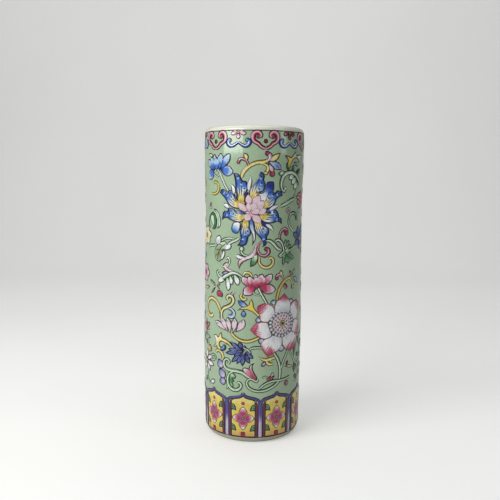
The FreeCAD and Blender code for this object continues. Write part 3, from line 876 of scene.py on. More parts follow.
def ruyi_border():
    """Cloud heads under the lip, with hooked curls and blossoms between them."""
    heads, beads, curls, blossoms = Enamel(), Enamel(), Enamel(), Enamel()
    band = "line crimson rose pink blush pink line"
    hook = "navy white sky blue cobalt navy"
    for step in range(RUYI_COUNT):
        middle = RUYI_PLACE + step * RUYI_STEP
        for side in (1, -1):
            path = mirrored(RUYI_HALF, side, middle)
            heads.stroke(path, [1.75, 1.9, 2.15, 2.5, 2.3, 2], facing(band, side), layer=1)
            ball = Wash("crimson crimson rose", edge="pink", reach=0.5, strength=0.5)
            heads.disc((middle + side * 6.1, 270.4), 2.1, ball, layer=2)
        beads.disc((middle, 266.4), 2, Wash("red red crimson", edge="red"))
        between = middle + RUYI_STEP / 2
        for side in (1, -1):
            path = mirrored(CURL_HALF, side, between)
            curls.stroke(path, [1.35, 1.55, 1.85, 2.1, 2], facing(hook, side), layer=1)
            curls.disc((between + side * 8, 267.2), 2.1, "sky blue cobalt", layer=2)
        petal = Wash("rose pink blush white", edge="blush", reach=0.4, strength=0.5, line="rosewood")
        if step % 2 == 0:
            petal = Wash("crimson red rose pink", edge="crimson", reach=0.4, strength=0.5)
        root = (between, 273.6)
        for side in (-1, 1):
            blossoms.petal(root, (between + side * 4.6, 275), 2.6, petal, blunt=0.6)
        for side in (-1, 1):
            blossoms.petal(root, (between + side * 7, 272.6), 4, petal, layer=2, blunt=0.7, belly=0.62)
        blossoms.petal((between, 273.8), (between, 267.8), 4, petal, layer=3, blunt=0.5, belly=0.6)
        blossoms.disc((between, 273.5), 0.9, "ochre straw", layer=4)
    heads.build("ruyi_cloud_heads", "rose_enamel", ["ruyi_heads"])
    beads.build("ruyi_red_beads", "red_enamel", ["ruyi_beads"])
    curls.build("blue_cloud_curls", "blue_enamel", ["cloud_curls"])
    blossoms.build("border_small_blossoms", "rose_enamel", ["border_blossoms"])


LAPPET_COUNT = 9
LAPPET_STEP = GIRTH / LAPPET_COUNT
LAPPET_PLACE = math.radians(-10.0) * DRAWN_RADIUS
LAPPET_FOOT = FOOT_LINE_TOP
FLOWER_HEIGHT = 23.3
STRIPE_HALF = [(11.95, LAPPET_FOOT), (11.95, 14), (11.95, 24), (11.95, 34), (11.8, 39.8)]
BAND_HALF = [
    (15.1, 36.4), (14.7, 38.6), (13, 40.4), (10.6, 41.4), (7.8, 42.1), (5, 42.8), (2.6, 43.6), (1, 44.7),
    (0, 46.6),
]
PANEL_HALF = [
    (11.2, LAPPET_FOOT, 1), (11.2, 20), (11.2, 36.8), (10.6, 39.6), (8, 41), (4.6, 41.8), (1.8, 42.8),
    (0, 44.6, 1),
]
LEAF = [
    (11.2, 36.6, 1), (8.4, 36.4), (6.6, 34.4), (5.8, 31.8), (5.2, 28.2, 1), (7.2, 29.6), (9.2, 30),
    (11.2, 30, 1),
]
LEAF_DROP = 18.8
LEAF_VEINS = [
    [(10.8, 35.4), (8.9, 34.9), (7.7, 33.2)], [(10.8, 33.9), (9, 33.5), (7.4, 31.9)],
    [(10.8, 32.4), (9, 32.1), (7.2, 30.9)],
]


def lappet_border():
    """Lotus-petal panels round the foot, each with a flower and four leaves."""
    frames, panels, flowers = Enamel(), Enamel(), Enamel()
    leaves, beads, tabs, piers = Enamel(), Enamel(), Enamel(), Enamel()
    yellow = Wash("amber yellow yellow yellow straw", edge="straw", reach=0.7, strength=0.4)
    petal = Wash(
        "crimson mallow mallow pink white white", edge="blush", reach=0.4, strength=0.5, line="olive",
        weight=1.1,
    )
    green = Wash("forest", edge="pine", reach=0.4, strength=0.5, line="pine")
    stripe = "line crimson red crimson line"
    band = "line violet iris violet line"
    for step in range(LAPPET_COUNT):
        middle = LAPPET_PLACE + step * LAPPET_STEP
        right = [(middle + p[0], *p[1:]) for p in PANEL_HALF]
        left = [(middle - p[0], *p[1:]) for p in PANEL_HALF[-2::-1]]
        panels.patch(right + left, yellow, (middle, 5), (middle, 44), layer=0, dome=0.4)
        for side in (1, -1):
            path = mirrored(STRIPE_HALF, side, middle)
            frames.stroke(path, [1.2, 1.2, 1.15, 1], facing(stripe, side), layer=1, ends=RISEN)
            path = mirrored(BAND_HALF, side, middle)
            frames.stroke(path, [1.1, 1.3, 1.35, 1.3, 1.3, 1.2], facing(band, side), layer=2, ends=JOINED)
            for drop in (0, LEAF_DROP):
                outline = [(middle + side * p[0], p[1] - drop, *p[2:]) for p in LEAF]
                leaves.patch(
                    outline, green, (middle + side * 12, 36 - drop), (middle + side * 6, 30 - drop),
                )
                for vein in LEAF_VEINS:
                    line = [(middle + side * x, z - drop) for x, z in vein]
                    leaves.stroke(line, [0.14, 0.24, 0.1], "leaf mint leaf", layer=2, ends=POINTED)
        for quarter in range(4):
            turn = math.radians(90 * quarter)
            tip = (middle + 11 * math.cos(turn), FLOWER_HEIGHT + 11.8 * math.sin(turn))
            flowers.petal((middle, FLOWER_HEIGHT), tip, 9.2, petal, belly=0.44, blunt=0.05)
        flowers.disc((middle, FLOWER_HEIGHT), 1.7, Wash("violet", line="crimson"), layer=3)
        flowers.disc((middle, FLOWER_HEIGHT), 0.75, Wash("lavender white", line="navy"), layer=4)
        beads.disc((middle, 37), 2, Wash("rose pink", edge="red", reach=0.7, strength=1, line="red"))
        corners = ((-2.5, LAPPET_FOOT), (2.5, LAPPET_FOOT), (2.5, 11.3), (-2.5, 11.3))
        tab = [(middle + x, z, 1) for x, z in corners]
        tabs.patch(tab, Wash("rose crimson", edge="red", line="red"), (middle, LAPPET_FOOT), (middle, 11))
        edge = middle + LAPPET_STEP / 2
        pale = "violet lavender white navy white lavender violet"
        deep = "violet violet iris navy iris violet violet"
        pier = [pale, pale, deep, deep]
        piers.stroke([(edge, LAPPET_FOOT), (edge, 22), (edge, 38.8)], [2.3, 2.25, 2.2], pier, ends=SQUARED)
    frames.build("lappet_blue_frames", "blue_enamel", ["lappet_frames"])
    panels.build("lappet_yellow_panels", "yellow_enamel", ["lappet_panels"])
    flowers.build("lappet_cross_flowers", "rose_enamel", ["lappet_flowers"])
    leaves.build("lappet_green_leaves", "green_enamel", ["lappet_leaves"])
    beads.build("lappet_red_beads", "red_enamel", ["lappet_beads"])
    tabs.build("lappet_red_tabs", "red_enamel", ["lappet_tabs"])
    piers.build("lappet_pale_piers", "violet_enamel", ["lappet_piers"])


# The great blue flower: each winged petal's outline, its root and tip, its three
# eyes and the ribs at its root
WINGS = [
    ([
        (-13.6, 212.6, 1), (-14.9, 218.8), (-15.9, 224.5), (-16.3, 230.3), (-16.9, 234.9),
        (-18.2, 239.4, 1), (-14.6, 239.3), (-11.7, 237), (-9.6, 233.2, 1), (-6.4, 232.6), (-4.8, 228.6),
        (-5.4, 224.5), (-7.2, 221.5), (-7.6, 218.4), (-6.2, 211.6, 1),
    ], (-10.4, 213), (-15, 238), [(-13.9, 236.2), (-10.9, 231), (-8.3, 226.4)]),
    ([
        (-4.4, 216.6, 1), (-4.4, 221.6), (-3.6, 225.8), (-1.4, 229), (1.4, 232.4), (3.6, 236), (4.1, 239),
        (5.8, 240.8), (8, 239.4), (9, 236.4), (8.6, 233.8), (9.9, 230.6), (9.9, 227.4), (8.3, 224.6),
        (6, 223.2), (3.2, 222.8), (2.6, 220.6), (1.2, 216, 1),
    ], (-2, 217.4), (6, 239), [(6, 236.2), (6.2, 231), (4.2, 226.2)]),
    ([
        (-8.6, 207.6, 1), (-14.1, 208.6), (-17.4, 209.4), (-20.3, 210.7), (-23.3, 213.2), (-26, 216.9),
        (-28.8, 219.6), (-32.2, 222.4, 1), (-30.8, 225), (-27.9, 225.7), (-25.1, 224.6), (-23.8, 222.8, 1),
        (-22.9, 224.4), (-21.1, 225), (-18.6, 223.8), (-17.4, 222), (-16.9, 219.9), (-15.3, 216.9),
        (-13.4, 214.4), (-8.4, 211.6, 1),
    ], (-11.4, 210.2), (-30, 224), [(-28.1, 222.8), (-24.2, 220.8), (-19.6, 219.2)]),
    ([
        (-6, 205.6, 1), (-11.7, 204.9), (-15.3, 206.3), (-16.6, 208.2), (-19.9, 209.7), (-22.9, 209.2),
        (-23.8, 206.8, 1), (-26.9, 207), (-28.8, 205), (-29.3, 202.3), (-30, 198.6, 1), (-26.9, 200.3),
        (-24.2, 200.6), (-21.1, 199.2), (-17.4, 198), (-14.1, 197.2), (-11.3, 197.2), (-6.4, 200.6, 1),
    ], (-8.4, 201.4), (-29, 203.4), [(-25.4, 203.4), (-21.4, 205), (-17.8, 205)]),
    ([
        (-8.4, 202, 1), (-11.2, 194.4), (-12, 188.6), (-11.4, 184.6), (-11.8, 181.4), (-14.2, 177.2, 1),
        (-9.8, 176.8), (-6.2, 178.2), (-4.8, 181.6), (-4.2, 184.9), (-2.2, 187.5), (-2.4, 190.8),
        (-4, 192.6), (-4.2, 196.7), (-3.4, 202, 1),
    ], (-6.4, 200.4), (-10.4, 178), [(-9.2, 181.6), (-7.2, 185.8), (-5.3, 190.2)]),
    ([
        (-1.4, 202.4, 1), (-0.2, 196), (0.4, 192), (2, 188.2), (4.6, 185.2), (7, 182), (8.2, 179.4),
        (7.4, 176, 1), (10.8, 178), (12, 182), (11.8, 184.9), (13.6, 188.6), (13, 192.1), (10.9, 194.3),
        (7.8, 195.6), (6.2, 198), (5.4, 202, 1),
    ], (2, 200.4), (9.6, 178), [(9.2, 182), (9.9, 187.4), (7.9, 192.2)]),
    ([
        (4.6, 207.4, 1), (10.3, 208.8), (13, 209.4), (16.3, 211.1), (19, 214.2), (20.4, 217.3), (23, 219.4),
        (26, 220.4, 1), (25.3, 223.2), (22.6, 225), (20, 224.9), (18.3, 222.8, 1), (17.1, 224), (14.2, 225),
        (11.6, 223.8), (10.9, 221), (10.1, 218.2), (8.4, 214.9), (4.4, 211.6, 1),
    ], (7, 210.2), (24, 223), [(21.5, 222), (16.5, 221.2), (12.9, 218.4)]),
    ([
        (3.6, 205.2, 1), (9.4, 204.8), (12.4, 205.2), (14.8, 207.2), (17.2, 209), (20, 208.2),
        (22.2, 205.4), (23, 202.4), (25.4, 200.6), (25.8, 195.6, 1), (21.6, 198), (17.2, 196.8),
        (13, 196.7), (9, 197.4), (4.2, 200.6, 1),
    ], (6.2, 202.6), (24, 200), [(21.7, 199.8), (19.6, 203.4), (17.4, 206.4)]),
]
WING_TONES = ("cobalt", "blue", "sky")
WING_PLAIN = [
    ([
        (3, 214, 1), (3.6, 222), (7.6, 223.4), (9.8, 227), (10.4, 231.6, 1), (13, 232.8), (17.2, 232.6, 1),
        (17.6, 228.6), (17, 224.6), (12.6, 220.6), (10.8, 216), (9.8, 212.6, 1),
    ], Wash("white white mist blue cobalt cobalt", line="navy"), (6, 214), (14.4, 232)),
    ([
        (-17.2, 197.6), (-11.6, 197.4), (-11.8, 191.4), (-13.6, 188), (-17, 187.6), (-19.8, 190.4),
        (-19.4, 194.4),
    ], Wash("white white sky blue cobalt", line="navy"), (-12.4, 197), (-17.6, 187.6)),
    ([
        (-16, 206.4), (-13, 208), (-9.6, 206.9), (-5.6, 205, 1), (-10.4, 203.6), (-14.4, 204),
    ], Wash("navy blue sky", line="navy"), (-7, 205), (-15, 206)),
    ([
        (-17.2, 222.4, 1), (-14.8, 218.8), (-12, 212.8, 1), (-15.4, 215.8), (-17.2, 219.4),
    ], Wash("blue lavender lavender", line="navy"), (-13, 213), (-17, 222)),
    ([
        (-7.6, 223, 1), (-4.6, 223.6, 1), (-5, 219.6), (-6.8, 215.6, 1), (-8, 219),
    ], Wash("navy cobalt", line="navy"), (-7, 216), (-6, 223)),
    ([
        (-2, 203.4, 1), (-4.2, 197.2), (-3.8, 192.6), (-2, 188.6), (-0.8, 184.6), (-1.2, 177.4, 1),
        (1.8, 182.6), (1.8, 188), (0.8, 192.8), (0, 198),
    ], Wash("navy blue sky white white white", line="navy"), (-1.6, 203), (-0.6, 178)),
    ([
        (4, 199.6), (10, 198.4), (13.8, 196, 1), (12.4, 193), (9, 194.6),
    ], Wash("navy cobalt blue", line="navy"), (5, 199), (13, 194)),
    ([
        (6.6, 205, 1), (10.6, 208.4), (15, 210.4), (18.4, 209.4, 1), (14.6, 206.4),
    ], Wash("navy blue lavender", line="navy"), (9, 206), (17, 209.6)),
]
WHITE_SEPALS = [
    [(-21.8, 230.6), (-19.2, 228.6), (-17.8, 225.4), (-17.6, 221.8)],
    [(-30, 211.6), (-26.4, 212), (-22.2, 209.8)], [(-3.6, 239), (-3, 234), (-4.2, 229.4), (-4.6, 225)],
    [(24.4, 211.6), (20.6, 211.6), (17, 210.2), (13.8, 208)],
    [(17.8, 188.6), (16.4, 191.6), (13.8, 194.2), (10.6, 195.8)],
]
HEART_PETALS = [
    ((-4.6, 206.2), (-14, 214), 6.8, 3), ((-4, 210.6), (-4.7, 221.6), 6.6, 3),
    ((-1.8, 210), (5.2, 221), 7.8, 3), ((2.4, 207.4), (8.6, 216.6), 7, 3),
    ((2, 204.6), (11.2, 209), 6.8, 3), ((-2.4, 204.8), (6.6, 197.2), 7.4, 3),
    ((-2.8, 205.8), (-7.4, 198.8), 7.4, 3), ((-3.2, 205.4), (-5, 214.8), 6, 5),
    ((-1.4, 206.2), (0.9, 215), 7.4, 4), ((-2.8, 205), (5.9, 208.7), 6, 5),
]


# The ribs at a wing's root: how far each lies to the side, and its share of the length
WING_RIBS = ((-1.7, 0.5), (-0.6, 0.62), (0.6, 0.62), (1.7, 0.5))


def wing(batch, outline, root, tip, eyes):
    """A winged petal with striped fingers at its root and eyed lobes."""
    deep, middle, pale = WING_TONES
    stops = "yellow straw white white %s" % pale + 4 * (" " + middle)
    wash = Wash(stops, edge=deep, reach=1, start=0.4, strength=0.95, line="navy", weight=1.4)
    root, tip = np.array(root), np.array(tip)
    reach = float(np.linalg.norm(tip - root))
    away = (tip - root) / reach
    across = np.array([-away[1], away[0]])
    heart = np.array(eyes[-1])
    lean = float((heart - root) @ across) * 0.35
    batch.patch(outline, wash, root - across * lean * 1.4, tip + across * lean * 1.4)
    gilt = ["ochre", "yellow", "olive", "slate"]
    for side, share in WING_RIBS:
        path = [
            root + across * side * 0.9 + away * 0.5,
            root + away * reach * share * 0.5 + across * (side * 1.35 + lean * 0.35),
            root + away * reach * share + across * (side * 1.8 + lean),
        ]
        batch.stroke(path, [0.55, 0.6, 0.25], gilt, layer=2, ends=POINTED)
    for number, eye in enumerate(eyes):
        eye = np.array(eye)
        inward = (root - eye) / np.linalg.norm(root - eye)
        if number < 2:
            batch.disc(eye + inward * 0.9, 1.35, Wash(pale, line=middle, weight=0.4), layer=2, dome=0.3)
        else:
            batch.disc(
                eye + inward * 0.8, 2.1, Wash("white " + pale, line=deep, weight=0.5), layer=2, dome=0.3,
            )
        batch.disc(eye, 1, Wash("navy", line="navy"), layer=3, dome=0.5)


def great_flower(wings, hearts):
    """The great flower with winged petals and a pale lotus heart."""
    for outline, wash, root, tip in WING_PLAIN:
        wings.patch(outline, wash, root, tip, layer=0)
    for path in WHITE_SEPALS:
        hearts.stroke(path, [0.6, 1.8, 2.3, 1.8], "slate white mist slate", ends=SPROUTED)
    for outline, root, tip, eyes in WINGS:
        wing(wings, outline, root, tip, eyes)
    pale = Wash(
        "pink blush petal petal", edge="petal", reach=0.5, strength=0.4, line="rosewood", weight=0.75,
    )
    hearts.disc((-0.8, 207.8), 5.8, Wash("blush", line="blush"), layer=2, dome=0.3)
    hearts.petals(HEART_PETALS, pale, belly=0.56, blunt=0.3)


def blue_lotus(petals, stems):
    """The small blue lotus at the upper left."""
    wash = Wash(
        "navy blue blue sky sky sky", edge="white", reach=0.6, strength=0.6, start=0.45, line="navy",
        weight=1.15,
    )
    petals.petals([
        ((-36.4, 241.4), (-38.6, 256), 6.2, 1), ((-39.6, 241.6), (-49, 251.2), 7, 1),
        ((-31, 242), (-21, 256), 7.8, 1), ((-32.6, 241.6), (-30.2, 256.6), 7.8, 2),
        ((-38.4, 241.4), (-43.4, 253.8), 7, 2), ((-35.6, 240.8), (-36.4, 253.2), 8.6, 3),
    ], wash, blunt=0.5, belly=0.6)
    lower = Wash(
        "navy cobalt blue blue sky sky", edge="white", reach=0.6, strength=0.6, start=0.4, line="navy",
    )
    petals.petal((-32.4, 243.6), (-17.8, 240.2), 9.6, lower, blunt=0.55, belly=0.6, bend=-0.05)
    petals.petal((-37.6, 243.2), (-47.8, 233.8), 9, lower, blunt=0.55, belly=0.6, bend=-0.08)
    stems.strokes([
        ([(-39.4, 238.8), (-37.4, 237.2), (-34.6, 236.8), (-32, 238.4)], 1, 1),
        ([(-38.8, 240), (-36.6, 242.2), (-33.6, 241.8), (-32.2, 239.6)], 1, 1),
        ([(-34, 242.2), (-31.6, 239), (-28.4, 233), (-26, 228.6), (-22.8, 224.4)], [1.5, 1.5, 1.4]),
    ], PALE_STEM)


def pink_lotus(petals, stems):
    """The pink lotus in the middle of the front."""
    wash = Wash(
        "crimson rose rose pink blush white", edge="white", reach=0.6, strength=0.55, start=0.35,
        streaks=0.6,
    )
    petals.petals([
        ((3, 140), (2.2, 153), 5.8, 1), ((1, 140.6), (-10.4, 150.4), 7.4, 1),
        ((6.2, 140.6), (17, 152.8), 7.6, 1), ((1.8, 140), (-4.2, 151.4), 6.6, 2),
        ((5.8, 140.4), (10.2, 150.8), 5.6, 2), ((4.6, 140), (7.8, 153.4), 7.6, 2),
        ((3.2, 139.4), (2.8, 150.8), 8.8, 3),
    ], wash, blunt=0.5, belly=0.62)
    petals.petal((3.4, 142.2), (-8, 134.4), 9.8, wash, blunt=0.6, belly=0.58, bend=-0.12)
    petals.petal((4.4, 142.2), (20.4, 139.2), 9.8, wash, blunt=0.6, belly=0.56, bend=-0.1)
    stems.strokes([
        ([(-0.6, 138.6), (1.4, 135.6), (4.4, 134.6), (6.6, 135.6)], 1),
        ([(4.6, 141), (6.6, 136.8), (9.4, 131.8), (12.4, 126.4)], [1.5, 1.5, 1.4]),
    ], PALE_STEM)


def pale_lotus(petals, stems):
    """The pale pink lotus at the lower left, on its bowed golden stem."""
    wash = Wash("pink blush petal petal white", streaks=0.4, line="slate", weight=0.9)
    for root, tip, width, layer, bend in [
        ((-22.8, 101), (-36.6, 108.6), 6.6, 1, -0.06), ((-15.4, 100.8), (-7.4, 113), 7.8, 1, -0.16),
        ((-21.6, 99.8), (-29.4, 112.8), 6.8, 2, -0.03), ((-17.2, 99.6), (-15.8, 114), 7.2, 2, -0.06),
        ((-19.4, 98.8), (-22.8, 113.6), 6.8, 3, -0.02),
    ]:
        petals.petal(root, tip, width * 0.9, wash, layer=layer, blunt=0.3, belly=0.62, bend=bend)
        root, tip = np.array(root), np.array(tip)
        slot = Wash("leaf sky", line="slate", weight=0.6)
        petals.petal(
            root + (tip - root) * 0.66, root + (tip - root) * 0.88, 1.5, slot, layer=layer + 1, dome=0.2,
        )
    stems.stroke([
        (-19, 100.6), (-16.4, 97.6), (-12.2, 94.8), (-7.2, 93.4), (-1.8, 93.8), (5.4, 96.8),
    ], [1.5, 1.7, 1.8, 1.8], GOLD_STEM)


PEONY = (27.4, 108.2)
PEONY_GROWTH = 1.07
PEONY_SQUASH = 0.93
PEONY_PETALS = [
    [
        (19.6, 118, 1), (19.4, 123.4), (21.6, 128.4), (25.4, 131.4), (29.4, 134.4, 1), (32.6, 131),
        (36.4, 127), (37, 121.6), (35.8, 117, 1),
    ],
    [
        (13.4, 110.4, 1), (7.4, 111.6), (5.8, 116), (4.2, 120.4), (4.4, 124.6), (9.6, 126.8), (14, 126.4),
        (18, 123.4), (20, 117.6, 1),
    ],
    [
        (17, 98.6, 1), (13.6, 96.2), (8.6, 95.8), (2.4, 99.4), (-1.6, 103.8, 1), (1.8, 108.6), (7, 110.6),
        (12.6, 109.8), (13.6, 108, 1),
    ],
    [
        (27, 95.6, 1), (27.2, 90), (24.6, 85.2), (19.2, 82), (13.4, 80, 1), (9.8, 84.6), (7.4, 90),
        (9.4, 94.4), (14.4, 96.4), (17.6, 98.4, 1),
    ],
    [
        (38.8, 99.6, 1), (43.6, 97), (48, 93.6), (46.8, 87.6), (43.6, 84), (38.4, 82, 1), (32.6, 83.6),
        (28.4, 88.4), (27.6, 95.4, 1),
    ],
    [
        (41.6, 109, 1), (46.4, 109.4), (51.2, 106.8), (52.4, 101.4), (50.6, 96.2, 1), (46.6, 95),
        (42.4, 97.6), (38.8, 100, 1),
    ],
    [
        (36.4, 118, 1), (37.6, 122.8), (42, 126.2), (47.6, 126.4), (51.8, 123.4, 1), (51.2, 117.6),
        (48.4, 112.6), (46.4, 110), (41.4, 109.4, 1),
    ],
]
PEONY_BUDS = [
    ((19.2, 124.8), (17.4, 130), 4.2), ((8.2, 111.6), (2.2, 113.2), 3.6), ((10.6, 96), (5.2, 92.2), 3.8),
    ((26.9, 89.4), (26.9, 82.4), 4.4), ((37, 124), (39.2, 129.4), 4), ((47.8, 95.2), (52, 92.6), 3.6),
]


def great_peony(petals, heart, stems):
    """The great white flower with crimson petal edges and a beaded heart."""
    for root, tip, width in PEONY_BUDS:
        heart.petal(
            root, tip, width * 1.45, Wash("white white sky slate", line="pine"), layer=0, blunt=0.7,
            belly=0.66,
        )
    wash = Wash(
        "mist white white white pink rose crimson", edge="rose", reach=0.8, start=0.3, strength=0.85,
        streaks=1.2, line="rosewood",
    )
    for outline in PEONY_PETALS:
        middle = np.array([p[:2] for p in outline]).mean(0)
        outline = [(*middle + (np.array(p[:2]) - middle) * PEONY_GROWTH, *p[2:]) for p in outline]
        far = max(outline, key=lambda p: math.hypot(0.8 * (p[0] - PEONY[0]), p[1] - PEONY[1]))
        tip = np.array(far[:2])
        root = np.array(PEONY) + (tip - PEONY) * 0.45
        petals.patch(outline, wash, root, tip)
        reach = tip - root
        across = np.array([-reach[1], reach[0]]) / np.linalg.norm(reach)
        for offset, share in ((-3.8, 0.26), (-2.2, 0.36), (-0.6, 0.44), (1, 0.4), (2.6, 0.34), (4, 0.24)):
            start = tip + across * offset - reach * (0.07 + 0.045 * abs(offset))
            middle = start - reach * share * 0.6 - across * offset * 0.1
            line = [start, middle, start - reach * share - across * offset * 0.3]
            petals.stroke(line, [0.35, 0.3, 0.12], "rose", layer=2, ends=POINTED)
    heart.disc(PEONY, 13.6, Wash("steel", line="slate"), dome=0.1, squash=PEONY_SQUASH)
    heart.disc(PEONY, 10.4, Wash("petal", line="steel"), layer=2, dome=0.1, squash=PEONY_SQUASH)
    rings = [
        (11.9, 22, 1.8, 0.92, Wash("mist mist white", line="slate", weight=0.8), 2),
        (9.1, 19, 1.35, 0.92, Wash("petal petal white", line="rosewood", weight=0.5), 3),
        (7.3, 14, 1.4, 0.6, Wash("rosewood", line="line"), 3),
        (4.9, 10, 1.3, 0.7, Wash("rosewood", line="line"), 3),
        (6.1, 12, 1, 0.8, Wash("white", line="blush", weight=0.4), 3),
    ]
    for reach, count, radius, thin, wash, layer in rings:
        for i in range(count):
            turn = 2 * math.pi * (i + 0.5 * (count % 3)) / count
            place = (PEONY[0] + reach * math.cos(turn), PEONY[1] + reach * PEONY_SQUASH * math.sin(turn))
            heart.disc(place, radius, wash, layer=layer, squash=thin, turn=turn)
    heart.disc(PEONY, 3.4, Wash("olive pine", line="line"), layer=4, dome=0.5)
    for i in range(8):
        turn = 2 * math.pi * i / 8
        spot = (PEONY[0] + 2.1 * math.cos(turn), PEONY[1] + 2 * math.sin(turn))
        heart.disc(spot, 0.75, Wash("straw", line="olive", weight=0.6), layer=5)
    stems.strokes([
        ([
            (19, 82.6), (22.4, 77.6), (24.6, 72.6), (25.8, 67), (25.8, 61.8), (25.2, 57.6),
        ], [1.7, 1.9, 2, 1.8]),
        ([(34.2, 82.6), (31.2, 77.4), (28.8, 72.4), (26.8, 67)], [1.5, 1.6, 1.5]),
    ], STEM)


def blue_aster(petals, stems):
    """The dark blue flower with pointed petals at the lower left."""
    wash = Wash(
        "navy cobalt cobalt blue cobalt", edge="navy", reach=0.6, strength=0.95, line="navy", weight=1.1,
    )
    for tip, width in [
        ((-19.4, 91.8), 4.6), ((-11.8, 92.6), 4.6), ((-6.6, 90), 4), ((-21.4, 85.4), 4.6),
        ((-24, 81.4), 4.8), ((-18.2, 74), 4.8), ((-13.4, 72.8), 4.4), ((-8.6, 71.4), 5),
        ((-2.4, 73.8), 4.6), ((0.8, 78.4), 4.6), ((-0.6, 82.8), 3.8),
    ]:
        root = np.array((-7.4, 84.4))
        reach = np.array(tip) - root
        petals.petal(root + reach * 0.15, root + reach * 1.04, width, wash, belly=0.54)
        across = np.array([-reach[1], reach[0]]) / np.linalg.norm(reach)
        for offset in (-0.55, 0.55):
            bow = ((0.4, 0.6), (0.65, 1.2), (0.9, 0.3))
            streak = [root + reach * share + across * offset * swell for share, swell in bow]
            petals.stroke(streak, [0.12, 0.3, 0.1], "blue lavender blue", layer=2, ends=POINTED)
    bright = Wash("navy cobalt blue sky", edge="navy", reach=0.6, line="navy", weight=1.1)
    petals.petals([
        ((-6.8, 84.8), (-16.4, 79.6), 4.6), ((-6.6, 85.2), (-16.4, 86.8), 4),
        ((-5.6, 83.8), (-10.6, 75.2), 4.4), ((-4.8, 84), (-4.2, 75.6), 4),
    ], bright, layer=3, belly=0.54)
    stems.stroke([
        (-7.6, 87.6), (-5.2, 86.6), (-3.2, 85.6), (-1.8, 83.2),
    ], [0.9, 1.2, 1], PALE_STEM, layer=6)
    stems.stroke([(-3.4, 85.8), (-0.6, 87.4), (3.4, 88), (8.2, 87.8)], [1.2, 1.4, 1.4], STEM, layer=1)


